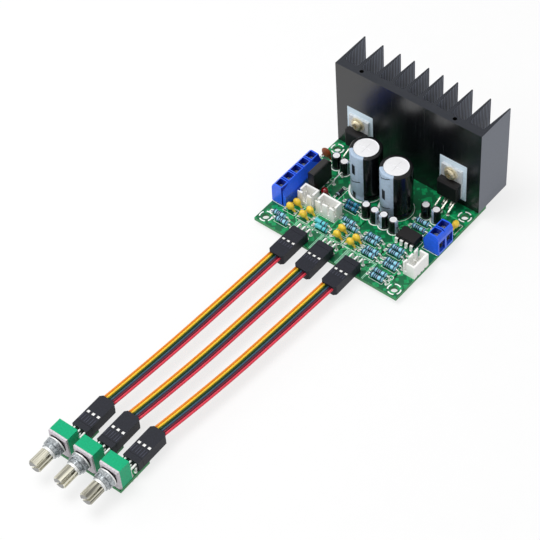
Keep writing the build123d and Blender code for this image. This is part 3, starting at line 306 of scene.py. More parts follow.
# Strong light and dark streaks along the shaft: partly the knurl, partly painted reflection of the
# studio.
GRIP_KNURL_AND_REFLECTION = surface("nickel_grip_knurl_and_painted_reflection", (196, 193, 178), 0.22, metallic=0.95, variation=0.75,
               grain=1.1 * MM, stretch=(1, 0.04, 1), bump=0.02)
SHAFT_END = surface("shaft_end", (150, 150, 148), 0.4, metallic=0.8, variation=0.2)
CHIP_WASHER = surface("chip_washer", (222, 216, 196), 0.42, metallic=0.4, variation=0.2,
                      grain=1.2 * MM)
CHIP_SCREW = surface("chip_screw", (198, 188, 160), 0.34, metallic=0.8, variation=0.45,
                     grain=1.0 * MM)
TAB = surface("chip_tab", (208, 212, 214), 0.5, metallic=0.25, variation=0.14, grain=1.0 * MM)
ALUMINIUM = surface("bare_aluminium", (243, 243, 245), 0.42, metallic=0.2, variation=0.03)
ANODISED = surface("anodised_black", (10, 11, 15), 0.24, variation=0.2, grain=0.5 * MM,
                   bump=0.012, stretch=(1, 1, 0.02), IOR=1.65)
ANODISED_TOP = surface("sawn_top", (38, 41, 48), 0.55, variation=0.25, grain=0.5 * MM,
                       Specular_IOR_Level=0.25)
# A mid grey copy of the black anodising for the outer sides: painted sheen.
ANODISED_SIDE_SHEEN = surface("anodised_side_painted_sheen", (112, 117, 128), 0.5, variation=0.08, grain=0.8 * MM,
                        bump=0.02, Specular_IOR_Level=0.4)
RIBBED_SHEEN_AND_SHADE = ribbed_material()
MOULDING = surface("black_moulding", (12, 13, 16), 0.5, variation=0.35, grain=0.25 * MM,
                   Specular_IOR_Level=0.25)
# A lighter copy of the black moulding for the upper faces: painted highlight.
MOULDING_TOP_LIT = surface("black_moulding_top_lit", (30, 29, 30), 0.6, variation=0.3, grain=0.3 * MM,
                       Specular_IOR_Level=0.25)
RECTIFIER = surface("rectifier_moulding", (10, 11, 13), 0.45, variation=0.35, grain=0.3 * MM,
                    Specular_IOR_Level=0.25)
# A lighter copy of the rectifier's black for its top: painted highlight.
RECTIFIER_TOP_LIT = surface("rectifier_top_lit", (50, 49, 49), 0.6, variation=0.2, grain=0.5 * MM,
                        Specular_IOR_Level=0.25)
PLUG = surface("plug_moulding", (29, 31, 40), 0.5, variation=0.25, grain=0.5 * MM,
               Specular_IOR_Level=0.22)
# A lighter copy of the plug moulding for the raised ribs: painted highlight.
PLUG_RIB_HIGHLIGHT = surface("plug_rib", (60, 62, 76), 0.5, variation=0.2, Specular_IOR_Level=0.25)
SLEEVE = surface("black_sleeve", (9, 10, 13), 0.22, variation=0.3, grain=1.2 * MM,
                 Specular_IOR_Level=0.3)
STRIPE = surface("sleeve_stripe", (172, 192, 214), 0.35, variation=0.1, grain=1.0 * MM,
                 Specular_IOR_Level=0.35)
SMALL_STRIPE = surface("small_stripe", (176, 192, 212), 0.35, variation=0.12)
STRIPE_MARK = surface("stripe_mark", (9, 12, 24), 0.4, Specular_IOR_Level=0.2)
CERAMIC = surface("dipped_ceramic", (255, 206, 62), 0.35, variation=0.22, grain=1.6 * MM,
                  Specular_IOR_Level=0.35, Coat_Weight=0.2)
BROWN_DISC = surface("dipped_disc", (128, 62, 24), 0.45, variation=0.2, Specular_IOR_Level=0.3)
RESISTOR = surface("resistor_coat", (142, 208, 230), 0.32, variation=0.12,
                   Specular_IOR_Level=0.4, Coat_Weight=0.15)
RESISTOR_TEAL = surface("resistor_coat_teal", (92, 202, 212), 0.32, variation=0.14,
                        Specular_IOR_Level=0.4, Coat_Weight=0.15)
RESISTOR_DEEP = surface("resistor_coat_deep", (38, 138, 174), 0.3, variation=0.2,
                        Specular_IOR_Level=0.4, Coat_Weight=0.2)
BAND_DARK = surface("band_dark", (8, 22, 48), 0.35, Specular_IOR_Level=0.3)
BAND_BROWN = surface("band_brown", (70, 42, 70), 0.35, Specular_IOR_Level=0.3)
BAND_GREY = surface("band_grey", (34, 62, 96), 0.35, Specular_IOR_Level=0.3)
DIODE = surface("diode_body", (18, 22, 30), 0.2, Coat_Weight=0.4)
DIODE_BAND = surface("diode_band", (150, 160, 176), 0.35)
LENS = surface("lamp_lens", (138, 6, 20), 0.15, variation=0.15, Coat_Weight=0.5,
               Subsurface_Weight=0.1)
NYLON = surface("white_nylon", (253, 253, 250), 0.42, variation=0.02, grain=0.8 * MM)
BLUE = surface("blue_housing", (42, 100, 248), 0.34, variation=0.1, grain=0.9 * MM,
               Specular_IOR_Level=0.35, Coat_Weight=0.08)
# A darker copy of the housing blue for the insides: painted shade.
BLUE_PAINTED_SHADE = surface("blue_chamber_painted_shade", (12, 42, 164), 0.4, variation=0.15, Specular_IOR_Level=0.3)
GREEN = surface("green_housing", (0, 170, 118), 0.4, variation=0.1, grain=0.7 * MM,
                Specular_IOR_Level=0.2)
PAD = surface("insulating_pad", (218, 236, 248), 0.5, variation=0.06, stretch=(0.1, 1, 2),
              grain=1.2 * MM)
WAFER = surface("phenolic_wafer", (120, 84, 50), 0.6)

WIRE_COLOURS = ((232, 138, 40), (246, 202, 58), (16, 58, 14), (58, 84, 104), (104, 26, 46),
                (224, 66, 84))
WIRES = [surface("wire_%d" % number, colour, 0.38, variation=0.08, grain=0.9 * MM,
                 Specular_IOR_Level=0.25)
         for number, colour in enumerate(WIRE_COLOURS, start=1)]


# Reading the frame

LEAD_REACH = 1.2 * MM
LEAD_APART = 1.1 * MM


def solids(node):
    """The separate solids of a node: each one's face numbers, lowest and highest corner."""
    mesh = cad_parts[node].data
    parent = {}

    def find(key):
        while parent[key] != key:
            parent[key] = parent[parent[key]]
            key = parent[key]
        return key

    keys = []
    for vertex in mesh.vertices:
        key = tuple(round(part * 1e6) for part in vertex.co)
        parent.setdefault(key, key)
        keys.append(key)
    for face in mesh.polygons:
        first = find(keys[face.vertices[0]])
        for corner in face.vertices[1:]:
            parent[find(keys[corner])] = first
    groups = {}
    for face in mesh.polygons:
        groups.setdefault(find(keys[face.vertices[0]]), []).append(face.index)
    found = []
    for faces in groups.values():
        points = [mesh.vertices[corner].co for face in faces
                  for corner in mesh.polygons[face].vertices]
        low = Vector([min(point[axis] for point in points) for axis in range(3)])
        high = Vector([max(point[axis] for point in points) for axis in range(3)])
        found.append((faces, low, high))
    found.sort(key=lambda solid: (round(solid[1].x, 5), round(solid[1].y, 5)))
    return found


def lead_places(node):
    """Where a node's leads come through the board, with each lead's half width."""
    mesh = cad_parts[node].data
    places = []
    tips = [vertex.co for vertex in mesh.vertices if vertex.co.z < BOARD_LOW - LEAD_REACH]
    for tip in tips:
        for group in places:
            if (group[0] - tip.xy).length < LEAD_APART:
                group.append(tip.xy.copy())
                break
        else:
            places.append([tip.xy.copy()])
    found = []
    for group in places:
        low = Vector((min(point.x for point in group), min(point.y for point in group)))
        high = Vector((max(point.x for point in group), max(point.y for point in group)))
        found.append(((low + high) / 2, max(high - low) / 2))
    return found


def dress(node, materials, choose=None):
    """Give a CAD node its materials; choose picks one for each face from its points."""
    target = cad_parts[node]
    target.data.materials.clear()
    for material in materials:
        target.data.materials.append(material)
    if choose is None:
        for face in target.data.polygons:
            face.material_index = 0
        return
    for faces, low, high in solids(node):
        for number in faces:
            face = target.data.polygons[number]
            points = [target.data.vertices[corner].co for corner in face.vertices]
            face.material_index = choose(face.center, face.normal, points, low, high)


# Mesh helpers

def new_piece(name, shape, materials, body=BODY, smooth=True):
    """Turn a bmesh into a piece that rides on a body."""
    mesh = bpy.data.meshes.new(name)
    bmesh.ops.recalc_face_normals(shape, faces=shape.faces)
    shape.to_mesh(mesh)
    shape.free()
    for material in materials:
        mesh.materials.append(material)
    for face in mesh.polygons:
        face.use_smooth = smooth
    piece = bpy.data.objects.new(name, mesh)
    bpy.context.scene.collection.objects.link(piece)
    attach(piece, body)
    return piece


def strip(shape, points, width, height=PRINT_LIFT):
    """A flat line of even width through points on the board, with mitred corners."""
    points = [Vector(point) for point in points]
    closed = (points[0] - points[-1]).length < 1e-9 and len(points) > 2
    if closed:
        points = points[:-1]
    count = len(points)
    sides = []
    for number, point in enumerate(points):
        before = points[number - 1] if closed or number > 0 else None
        after = points[(number + 1) % count] if closed or number < count - 1 else None
        ways = []
        if before is not None:
            ways.append((point - before).normalized())
        if after is not None:
            ways.append((after - point).normalized())
        normals = [Vector((-way.y, way.x)) for way in ways]
        mitre = sum(normals, Vector((0, 0)))
        mitre = mitre.normalized() / max(0.5, mitre.normalized().dot(normals[0]))
        sides.append([shape.verts.new((*(point + mitre * side * width / 2), height))
                      for side in (-1, 1)])
    for number in range(count if closed else count - 1):
        start, end = sides[number], sides[(number + 1) % count]
        shape.faces.new((start[0], end[0], end[1], start[1]))


def arc(centre, radius, start, end, steps=24):
    """Points of an arc about a centre, between two angles in degrees."""
    return [(centre[0] + radius * cos(radians(start + (end - start) * step / steps)),
             centre[1] + radius * sin(radians(start + (end - start) * step / steps)))
            for step in range(steps + 1)]


def outline(low_x, low_y, high_x, high_y):
    """The corners of a rectangle, closed."""
    return [(low_x, low_y), (high_x, low_y), (high_x, high_y), (low_x, high_y), (low_x, low_y)]


def patch(shape, corners):
    """A flat filled shape on the board."""
    shape.faces.new([shape.verts.new((*corner, PRINT_LIFT)) for corner in corners])


def turned(shape, centre, profile, steps):
    """A profile of radius and height turned about a vertical axis."""
    rings = []
    for radius, height in profile:
        if radius < 1e-7:
            rings.append([shape.verts.new((centre[0], centre[1], height))])
        else:
            rings.append([shape.verts.new((centre[0] + radius * cos(2 * pi * step / steps),
                                           centre[1] + radius * sin(2 * pi * step / steps),
                                           height)) for step in range(steps)])
    for inner, outer in zip(rings, rings[1:]):
        for step in range(steps):
            following = (step + 1) % steps
            corners = []
            for corner in (inner[step % len(inner)], inner[following % len(inner)],
                           outer[following % len(outer)], outer[step % len(outer)]):
                if corner not in corners:
                    corners.append(corner)
            if len(corners) > 2:
                shape.faces.new(corners)


def tube(shape, points, radius, sides, slot):
    """A round tube through points, closed at both ends."""
    rings = []
    for number, point in enumerate(points):
        ahead = points[min(number + 1, len(points) - 1)] - points[max(number - 1, 0)]
        across = ahead.cross(Vector((0, 0, 1))).normalized()
        up = across.cross(ahead).normalized()
        rings.append([shape.verts.new(point + across * radius * cos(2 * pi * side / sides)
                                      + up * radius * sin(2 * pi * side / sides))
                      for side in range(sides)])
    for start, end in zip(rings, rings[1:]):
        for side in range(sides):
            following = (side + 1) % sides
            face = shape.faces.new((start[side], start[following], end[following], end[side]))
            face.material_index = slot
    for ring in (rings[0], rings[-1]):
        shape.faces.new(ring).material_index = slot


# Ribbons

WIRE_PITCH = 1.05 * MM
WIRE_RADIUS = 0.53 * MM
RIBBON_ROUTES = {
    "left": ((-14.4, -42.25, 5.55), (-15.5, -72.0, 5.1), (-17.1, -111.0, 5.1),
             (-18.994, -138.78, 5.55)),
    "middle": ((-0.7, -42.25, 5.55), (-1.9, -72.0, 5.1), (-3.7, -111.0, 5.1),
               (-6.294, -138.38, 5.55)),
    "right": ((13.3, -42.25, 5.55), (11.9, -72.0, 5.1), (9.6, -111.0, 5.1),
              (6.606, -137.68, 5.55))}


def smooth_route(name, points):
    """The ribbon's centreline: a smooth spline with the route's points as its control points."""
    data = bpy.data.curves.new(name + "_route", "CURVE")
    data.dimensions = "3D"
    data.resolution_u = 16
    spline = data.splines.new("NURBS")
    spline.points.add(len(points) - 1)
    for target, point in zip(spline.points, points):
        target.co = (point[0] * MM, point[1] * MM, point[2] * MM, 1)
    spline.order_u = 3
    spline.use_endpoint_u = True
    holder = bpy.data.objects.new(name + "_route", data)
    mesh = bpy.data.meshes.new_from_object(holder)
    line = [vertex.co.copy() for vertex in mesh.vertices]
    bpy.data.objects.remove(holder)
    return line


def make_ribbons():
    """Six coloured wires side by side, along each ribbon's route."""
    for side, route in RIBBON_ROUTES.items():
        node = "ribbon_" + side
        line = smooth_route(node, route)
        shape = bmesh.new()
        for number in range(len(WIRES)):
            offset = (number - (len(WIRES) - 1) / 2) * WIRE_PITCH
            shifted = []
            for step, point in enumerate(line):
                ahead = line[min(step + 1, len(line) - 1)] - line[max(step - 1, 0)]
                across = Vector((0, 0, 1)).cross(ahead).normalized()
                shifted.append(point + across * offset)
            tube(shape, shifted, WIRE_RADIUS, 14, number)
        ribbon = new_piece(node + "_wires", shape, WIRES)
        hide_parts(node)


# Dressing the CAD nodes

CONTROL_AXIS = 8.1 * MM
BUSHING_FRONT = 4.05 * MM
BOSS_FRONT = 5.0 * MM
BOSS_REACH = 4.2 * MM
COLLAR_FRONT = 7.35 * MM
COLLAR_REAR = 8.55 * MM
SINK_PLATE = (0.5 * MM, 3.9 * MM)
COATED_LEG = 0.6 * MM
TALL_DISC = 5.5 * MM
BODY_HALF = 3.2 * MM
DIODE_HALF = 2.15 * MM
DISC_SHARE = 0.78
RESISTOR_TINTS = (((-12.0, -14.4), 2), ((-9.9, -16.9), 2), ((-7.8, 2.0), 3), ((-7.0, -0.6), 3))


def is_lead(points):
    """A face that reaches down to the board belongs to a lead."""
    return min(point.z for point in points) < BOARD_TOP + 0.05 * MM


def can_face(centre, normal, points, low, high):
    """Leads below, a bare disc in the middle of the top, sleeve elsewhere."""
    if is_lead(points):
        return 0
    middle = (low + high) / 2
    radius = (high.x - low.x) / 2
    on_top = centre.z > high.z - 0.1 * radius
    return 2 if on_top and (centre - middle).xy.length < DISC_SHARE * radius else 1


def ceramic_face(centre, normal, points, low, high):
    """Bare leads, coated bodies and legs, and one taller brown disc."""
    if centre.z < BOARD_TOP + COATED_LEG:
        return 0
    return 2 if high.z > BOARD_TOP + TALL_DISC else 1


def tint_at(middle):
    """The coat of the resistor at a place: most have the plain one."""
    for place, slot in RESISTOR_TINTS:
        if (middle.xy - Vector(place) * MM).length < 1 * MM:
            return slot
    return 1


def resistor_face(centre, normal, points, low, high):
    """The two leads stand outside the body's ends, and a few bodies have a deeper colour."""
    middle = (low + high) / 2
    if abs(centre.x - middle.x) > BODY_HALF or centre.z < BOARD_TOP:
        return 0
    return tint_at(middle)


def diode_face(centre, normal, points, low, high):
    """The diode lies along Y."""
    middle = (low.y + high.y) / 2
    return 0 if abs(centre.y - middle) > DIODE_HALF or centre.z < BOARD_TOP else 1


def board_face(centre, normal, points, low, high):
    """Solder mask on both faces, laminate on the cut edges."""
    return 0 if abs(normal.z) > 0.5 else 1


def sink_face(centre, normal, points, low, high):
    """Smooth front, sawn top, outer sides and ribbed flanks in grey copies of the black that are
    painted sheen, and dark bores.
    """
    if normal.z > 0.5:
        return 1
    bore = low.y + SINK_PLATE[0] < centre.y < low.y + SINK_PLATE[1]
    if bore and abs(centre.x) < high.x - 1 * MM and abs(normal.z) < 0.5:
        return 4
    if normal.y < -0.9:
        return 0
    return 2 if abs(centre.x) > high.x - 0.05 * MM else 3


def lead_frame_face(centre, normal, points, low, high):
    """The broad tab is rougher and paler than the leads."""
    return 1 if high.x - low.x > 5 * MM else 0


def lamp_face(centre, normal, points, low, high):
    """Leads under the lens."""
    return 0 if is_lead(points) else 1


def top_face(centre, normal, points, low, high):
    """The upper faces of a moulding are duller than its sides, and a lighter copy of its black: a
    painted highlight from the light above.
    """
    return 1 if normal.z > 0.5 else 0


def terminal_face(centre, normal, points, low, high):
    """The chambers and wells inside get a darker copy of the blue: painted shade in the recesses."""
    inset = min(high.x - centre.x, centre.x - low.x)
    end_gap = min(high.y - centre.y, centre.y - low.y)
    hidden = inset > 1.3 * MM and low.z + 1 * MM < centre.z < high.z - 0.6 * MM
    return 1 if hidden and abs(normal.z) < 0.99 and end_gap > 0.1 * MM else 0


def shaft_face(centre, normal, points, low, high):
    """A duller end face, a bright collar next to the bushing, and between them a grip whose streaks
    are partly knurl and partly painted reflection.
    """
    if normal.y < -0.95:
        return 1
    return 2 if low.y + COLLAR_FRONT < centre.y < low.y + COLLAR_REAR else 0


def bushing_face(centre, normal, points, low, high):
    """Plate behind, a boss painted black as the shadow behind the washer, threaded bushing in front.
    """
    if centre.y < low.y + BUSHING_FRONT:
        return 2
    middle = (low.x + high.x) / 2
    reach = max(Vector((point.x - middle, point.z - CONTROL_AXIS)).length for point in points)
    return 1 if reach < BOSS_REACH and centre.y < low.y + BOSS_FRONT else 0


def dress_nodes():
    """Every CAD node that stays gets its own finish."""
    dress("main_board", [MASK, LAMINATE], board_face)
    dress("control_boards", [MASK, LAMINATE], board_face)
    dress("heatsink", [ANODISED, ANODISED_TOP, ANODISED_SIDE_SHEEN, RIBBED_SHEEN_AND_SHADE, BLACK_SHADOW_AND_BORE], sink_face)
    dress("heatsink_screws", [STEEL])
    dress("insulating_pads", [PAD])
    dress("power_chip_bodies", [MOULDING, MOULDING_TOP_LIT], top_face)
    dress("power_chip_leads", [CHIP_LEAD, TAB], lead_frame_face)
    dress("chip_washers", [CHIP_WASHER])
    dress("chip_screws", [CHIP_SCREW])
    for node in ("reservoir_capacitor_left", "reservoir_capacitor_right", "small_capacitors"):
        dress(node, [TIN, SLEEVE, ALUMINIUM], can_face)
    dress("ceramic_capacitors", [TIN, CERAMIC, BROWN_DISC], ceramic_face)
    dress("resistors", [TIN, RESISTOR, RESISTOR_TEAL, RESISTOR_DEEP], resistor_face)
    dress("signal_diode", [TIN, DIODE], diode_face)
    dress("wire_jumper", [BRIGHT_TIN])
    dress("preamp_chip_body", [MOULDING, MOULDING_TOP_LIT], top_face)
    dress("preamp_chip_legs", [BRIGHT_TIN])
    dress("bridge_rectifier_body", [RECTIFIER, RECTIFIER_TOP_LIT], top_face)
    dress("bridge_rectifier_leads", [TIN])
    dress("indicator_lamp", [TIN, LENS], lamp_face)
    for node in ("two_way_socket", "three_way_socket", "edge_socket"):
        dress(node, [NYLON])
    dress("socket_pins", [TIN])
    for node in ("power_terminal", "output_terminal"):
        dress(node, [BLUE, BLUE_PAINTED_SHADE], terminal_face)
    dress("wire_cages", [STEEL])
    for number in range(1, 8):
        dress("clamp_screw_%d" % number, [STEEL])
    dress("board_header_blocks", [PLUG])
    dress("board_header_pins", [BRIGHT_TIN])
    dress("plug_contacts", [BRIGHT_TIN])
    dress("control_housings", [GREEN])
    dress("control_washers", [WASHER_STEEL])
    dress("control_nuts", [DARK_STEEL])
    dress("resistance_wafers", [WAFER])
    dress("wafer_terminals", [TIN])
    dress("control_header_blocks", [PLUG])
    dress("control_header_pins", [BRIGHT_TIN])
    for side in ("left", "middle", "right"):
        dress("board_plug_" + side, [PLUG])
        dress("control_plug_" + side, [PLUG])
        dress("control_bushing_" + side, [PLATE, BLACK_SHADOW_AND_BORE, DARK_STEEL], bushing_face)
        dress("control_shaft_" + side, [GRIP_KNURL_AND_REFLECTION, SHAFT_END, WASHER_STEEL], shaft_face)


# Board print, traces and solder

HOLE_PLACES = [(side_x * 34.0 * MM, side_y * 24.75 * MM) for side_x in (-1, 1)
               for side_y in (-1, 1)]
HEADER_PLACES = (-14.4, -0.7, 13.3)
HEADER_MARKS = (-1.27, 1.27, 3.81)
HEADER_MARK_ROW = (-19.4 * MM, -18.6 * MM)
HEADER_FRONT = -28.1 * MM
HEADER_MARGINS = (6.2, 6.75)
HEADER_ROW = -24.9
LOOSE_PADS = ((29.3 * MM, -20.6 * MM), (29.5 * MM, -23.7 * MM))
HOLE_RING = 2.75 * MM
SMALL_RING = 2.55 * MM
RESISTOR_BOX = (3.4 * MM, 1.35 * MM)
PAD_WIDTH = 0.5 * MM
LEADED_NODES = ("resistors", "ceramic_capacitors", "small_capacitors", "signal_diode",
                "wire_jumper", "preamp_chip_legs", "bridge_rectifier_leads", "indicator_lamp",
                "socket_pins", "board_header_pins", "power_chip_leads", "wire_cages",
                "reservoir_capacitor_left", "reservoir_capacitor_right")
CONTROL_NODES = ("control_header_pins", "wafer_terminals")
TRACE_WIDTH = 0.5 * MM
TRACE_LIFT = 0.012 * MM
TRACE_RUN = 7 * MM
TRACE_SPREAD = 4 * MM
SHORT_RUN = 0.4 * MM
FINE_LINE = 0.2 * MM
HAIR_LINE = 0.16 * MM


def make_traces():
    """Copper under the lacquer, from each lead to leads about one run away."""
    places = [(spot, node) for node in LEADED_NODES for spot, half in lead_places(node)]
    shape = bmesh.new()
    drawn = set()
    for number, (spot, node) in enumerate(places):
        near = sorted((abs((other - spot).length - TRACE_RUN), index)
                      for index, (other, owner) in enumerate(places)
                      if owner != node or (other - spot).length > TRACE_SPREAD)
        for distance, index in near[:2]:
            pair = (min(number, index), max(number, index))
            if pair in drawn or distance > TRACE_SPREAD:
                continue
            drawn.add(pair)
            end = places[index][0]
            across, along = end.x - spot.x, end.y - spot.y
            run = min(abs(across), abs(along))
            if run < SHORT_RUN:
                continue
            bend = Vector((spot.x + run * (1 if across > 0 else -1),
                           spot.y + run * (1 if along > 0 else -1)))
            route = [spot, end] if (end - bend).length < SHORT_RUN else [spot, bend, end]
            strip(shape, route, TRACE_WIDTH, height=BOARD_TOP + TRACE_LIFT)
    new_piece("board_traces", shape, [TRACE], smooth=False)


def box_line(shape, node, left, front, right, rear):
    """A printed rectangle round a node's box, with a margin in millimetres on each side."""
    low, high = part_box(node)
    strip(shape, outline(low.x - left * MM, low.y - front * MM, high.x + right * MM,
                         high.y + rear * MM), FINE_LINE)


def make_board_print():
    """White print: arcs round the holes, component outlines and the boxes of the headers."""
    shape = bmesh.new()
    for hole in HOLE_PLACES:
        for middle in (0, 90, 180, 270):
            strip(shape, arc(hole, HOLE_RING, middle - 31, middle + 31, 10), 0.62 * MM)
    for faces, low, high in solids("small_capacitors"):
        middle = (low + high) / 2
        strip(shape, arc(middle.xy, SMALL_RING, -170, 10, 20), 0.5 * MM)
        strip(shape, arc(middle.xy, SMALL_RING, 10, 190, 20), FINE_LINE)
    for side in ("left", "right"):
        low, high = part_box("reservoir_capacitor_" + side)
        middle = (low + high) / 2
        strip(shape, arc(middle.xy, 7.75 * MM, -178, -62, 30), 0.85 * MM)
        strip(shape, arc(middle.xy, 7.6 * MM, -62, 182, 50), 0.25 * MM)
    for faces, low, high in solids("resistors"):
        middle = (low + high) / 2
        half_x, half_y = RESISTOR_BOX
        strip(shape, outline(middle.x - half_x, middle.y - half_y, middle.x + half_x,
                             middle.y + half_y), HAIR_LINE)
    for faces, low, high in solids("ceramic_capacitors"):
        strip(shape, outline(low.x - 0.3 * MM, low.y - 0.3 * MM, high.x + 0.3 * MM,
                             high.y + 0.3 * MM), HAIR_LINE)
    for node, margin in (("two_way_socket", 0.35), ("three_way_socket", 0.35),
                         ("signal_diode", 0.4), ("bridge_rectifier_body", 0.4)):
        box_line(shape, node, margin, margin, margin, margin)
    low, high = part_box("indicator_lamp")
    strip(shape, arc(((low + high) / 2).xy, 2.3 * MM, 0, 360, 28), FINE_LINE)
    box_line(shape, "preamp_chip_body", 0.5, -0.8, 0.5, -0.8)
    box_line(shape, "power_terminal", -0.7, 0.4, 0.4, 0.4)
    box_line(shape, "output_terminal", 0.4, 0.4, -0.7, 0.4)
    for header_x in HEADER_PLACES:
        for column in HEADER_MARKS:
            x = (header_x + column) * MM
            low_y, high_y = HEADER_MARK_ROW
            patch(shape, outline(x - 0.3 * MM, low_y, x + 0.3 * MM, high_y)[:4])
    for place in LOOSE_PADS:
        strip(shape, arc(place, 1.0 * MM, 0, 360, 20), 0.3 * MM)
    new_piece("board_print", shape, [PRINT], smooth=False)
    lines = bmesh.new()
    for header_x in HEADER_PLACES:
        for margin in HEADER_MARGINS:
            low_x, high_x = (header_x - margin) * MM, (header_x + margin) * MM
            top = (HEADER_ROW + margin) * MM
            strip(lines, [(low_x, HEADER_FRONT), (low_x, top), (high_x, top),
                          (high_x, HEADER_FRONT)], 0.24 * MM)
    new_piece("header_print", lines, [PRINT_LINE], smooth=False)


def make_pads():
    """Plated rings round the leads on top, and solder cones round them underneath."""
    top = bmesh.new()
    under = bmesh.new()
    for nodes in (LEADED_NODES, CONTROL_NODES):
        for node in nodes:
            for spot, half in lead_places(node):
                inner, outer = half + 0.02 * MM, half + PAD_WIDTH
                turned(top, spot, ((inner, PRINT_LIFT + 0.03 * MM),
                                   ((inner + outer) / 2, PRINT_LIFT + 0.05 * MM),
                                   (outer, PRINT_LIFT)), steps=14)
                turned(under, spot, ((outer + 0.25 * MM, BOARD_LOW - 0.02 * MM),
                                     (outer * 0.8, BOARD_LOW - 0.3 * MM),
                                     (half * 1.25, BOARD_LOW - 0.95 * MM),
                                     (0, BOARD_LOW - 1.15 * MM)), steps=14)
    new_piece("pads_top", top, [SOLDER])
    new_piece("solder_joints", under, [SOLDER])


# Capacitor stripes and marks

# Radius, disc radius, height and groove height of each size of can
RESERVOIR = (7.1 * MM, 5.45 * MM, 25.6 * MM, 2.6 * MM)
SMALL_CAN = (2.05 * MM, 1.55 * MM, 6.9 * MM, 1.1 * MM)
HAIR = 0.04 * MM
MARK_LIFT = 0.07 * MM
SMALL_STRIPES = (130, 15, 130, -15, -108, -5, 130, -118)
# Angles in degrees, as seen from above, from the module's right
STRIPE_SECTOR = (-142, -64)
OBLONG_SECTOR = (-112, -96)
OBLONG_HALF = 2.8
# For each reservoir capacitor, the heights in millimetres of its oblongs and its bent lines
STRIPE_MARKS = (("left", (18.8, 2.7), (10.9,)), ("right", (15.1,), (24.1, 6.5)))
CHEVRON_START = -132
CHEVRON_STEP = 7
CHEVRON_OVERLAP = 0.2
CHEVRON_RISE = 0.4 * MM
CHEVRON_HALF = 0.24 * MM


def can_profile(radius, disc_radius, height, groove_height):
    """The outline of a can's sleeve from the disc to the foot, a hair outside the solid."""
    low = BOARD_TOP + 0.1 * MM
    high = low + height
    rim = (radius - disc_radius) * 0.45
    groove = radius * 0.05
    profile = [(disc_radius + 0.1 * MM, high + HAIR), (radius - rim, high + HAIR)]
    for angle in (65, 40, 15):
        profile.append((radius - rim + (rim + HAIR) * cos(radians(angle)),
                        high - rim + (rim + HAIR) * sin(radians(angle))))
    profile += [(radius + HAIR, high - rim), (radius + HAIR, low + groove_height + groove * 2),
                (radius - groove + HAIR, low + groove_height),
                (radius + HAIR, low + groove_height - groove * 2),
                (radius + HAIR, low + rim / 2)]
    return profile


def can_strip(shape, centre, profile, start, end, steps, slot):
    """A sector of a turned profile, between two angles in degrees."""
    columns = []
    for step in range(steps + 1):
        angle = radians(start + (end - start) * step / steps)
        columns.append([shape.verts.new((centre.x + radius * cos(angle),
                                         centre.y + radius * sin(angle), height))
                        for radius, height in profile])
    for before, after in zip(columns, columns[1:]):
        for number in range(len(profile) - 1):
            face = shape.faces.new((before[number], after[number], after[number + 1],
                                    before[number + 1]))
            face.material_index = slot


def make_stripes():
    """Pale stripes with plain dark marks down the sleeves of all the cans."""
    for side, oblongs, chevrons in STRIPE_MARKS:
        low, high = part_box("reservoir_capacitor_" + side)
        centre = (low + high) / 2
        shape = bmesh.new()
        can_strip(shape, centre, can_profile(*RESERVOIR), *STRIPE_SECTOR, 16, 0)
        wall = RESERVOIR[0] + MARK_LIFT
        for height in oblongs:
            ends = ((wall, (height + OBLONG_HALF) * MM), (wall, (height - OBLONG_HALF) * MM))
            can_strip(shape, centre, ends, *OBLONG_SECTOR, 3, 1)
        for height in chevrons:
            for step in range(8):
                start = CHEVRON_START + step * CHEVRON_STEP
                middle = height * MM + CHEVRON_RISE * abs(step - 2)
                ends = ((wall, middle + CHEVRON_HALF), (wall, middle - CHEVRON_HALF))
                can_strip(shape, centre, ends, start, start + CHEVRON_STEP + CHEVRON_OVERLAP, 1, 1)
        new_piece("stripe_" + side, shape, [STRIPE, STRIPE_MARK])
    shape = bmesh.new()
    for number, (faces, low, high) in enumerate(solids("small_capacitors")):
        centre = (low + high) / 2
        middle = SMALL_STRIPES[number % len(SMALL_STRIPES)]
        can_strip(shape, centre, can_profile(*SMALL_CAN), middle - 30, middle + 30, 8, 0)
        wall = SMALL_CAN[0] + 0.06 * MM
        can_strip(shape, centre, ((wall, 5.6 * MM), (wall, 4.2 * MM)), middle - 9, middle + 9, 1, 1)
    new_piece("small_stripes", shape, [SMALL_STRIPE, STRIPE_MARK])


# Bands

BAND_PATTERNS = ((0, 0, 1, 0, 0), (0, 2, 0, 1, 0), (2, 0, 0, 0, 1), (0, 1, 0, 2, 0))
BAND_OFFSETS = (-2.5, -1.25, -0.4, 0.45, 2.5)
BAND_WIDTH = 0.58 * MM
END_RADIUS = 1.175 * MM
WAIST_RADIUS = 0.975 * MM
RESISTOR_AXIS = BOARD_TOP + 1.3 * MM
DIODE_AXIS = BOARD_TOP + 1.1 * MM


def ring_band(shape, centre, axis, offset, width, radius, slot, steps=16):
    """A narrow closed band round a body that lies along X or Y."""
    rings = []
    for share in (-0.5, 0.5):
        ring = []
        for step in range(steps):
            angle = 2 * pi * step / steps
            along = offset + share * width
            around = (radius * cos(angle), radius * sin(angle))
            place = (along, *around) if axis == "X" else (around[0], along, around[1])
            ring.append(shape.verts.new(centre + Vector(place)))
        rings.append(ring)
    for step in range(steps):
        following = (step + 1) % steps
        face = shape.faces.new((rings[0][step], rings[0][following], rings[1][following],
                                rings[1][step]))
        face.material_index = slot


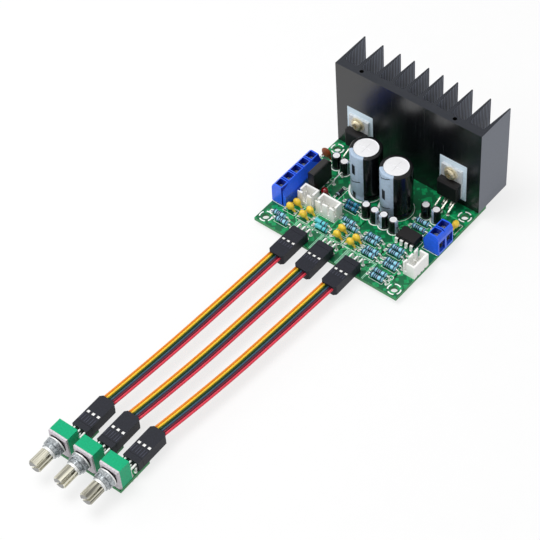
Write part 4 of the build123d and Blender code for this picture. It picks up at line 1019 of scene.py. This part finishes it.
def make_bands():
    """Value bands round the resistors and the light end band of the diode."""
    shape = bmesh.new()
    for number, (faces, low, high) in enumerate(solids("resistors")):
        centre = Vector(((low.x + high.x) / 2, (low.y + high.y) / 2, RESISTOR_AXIS))
        first = 3 if tint_at(centre) == 2 else 0
        pattern = BAND_PATTERNS[number % len(BAND_PATTERNS)]
        for offset, slot in list(zip(BAND_OFFSETS, pattern))[first:]:
            ring_band(shape, centre, "X", offset * MM, BAND_WIDTH,
                      END_RADIUS if abs(offset) > 2 else WAIST_RADIUS, slot)
    new_piece("resistor_bands", shape, [BAND_DARK, BAND_BROWN, BAND_GREY])
    low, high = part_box("signal_diode")
    centre = Vector(((low.x + high.x) / 2, (low.y + high.y) / 2, DIODE_AXIS))
    band = bmesh.new()
    ring_band(band, centre, "Y", -1.4 * MM, 0.7 * MM, WAIST_RADIUS, 0)
    new_piece("diode_end_band", band, [DIODE_BAND])


# Plug details

PLUG_WINDOW = 5.4 * MM
WINDOW_GAP = 1.5 * MM
RIB_COLUMNS = (-2.54, 0, 2.54)
RIB_SHIFTS = (-0.55, 0.55)
RIB_HALF = 0.17 * MM
RIB_TOP = 0.06 * MM
BOARD_RIB_START = 3.2 * MM
CONTROL_RIB_START = 0.7 * MM


def make_plug_ribs():
    """Short raised ribs on the plugs' upper faces, beside the windows, in a lighter copy of the
    plug's black: painted highlight.
    """
    shape = bmesh.new()
    for side in ("left", "middle", "right"):
        for end in ("board_plug_", "control_plug_"):
            low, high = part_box(end + side)
            centre = (low + high) / 2
            at_board = end == "board_plug_"
            window = high.y - PLUG_WINDOW if at_board else low.y + PLUG_WINDOW
            start = window - BOARD_RIB_START if at_board else low.y + CONTROL_RIB_START
            finish = window - WINDOW_GAP
            for column in RIB_COLUMNS:
                for shift in RIB_SHIFTS:
                    x = centre.x + (column + shift) * MM
                    corners = outline(x - RIB_HALF, start, x + RIB_HALF, finish)[:4]
                    lower = [shape.verts.new((*corner, high.z - 0.02 * MM)) for corner in corners]
                    upper = [shape.verts.new((*corner, high.z + RIB_TOP)) for corner in corners]
                    shape.faces.new(upper)
                    for number in range(4):
                        following = (number + 1) % 4
                        shape.faces.new((lower[number], lower[following], upper[following],
                                         upper[number]))
    new_piece("plug_ribs", shape, [PLUG_RIB_HIGHLIGHT], smooth=False)


make_camera()
make_studio()
make_floor()
make_ribbons()
dress_nodes()
make_traces()
make_board_print()
make_pads()
make_stripes()
make_bands()
make_plug_ribs()
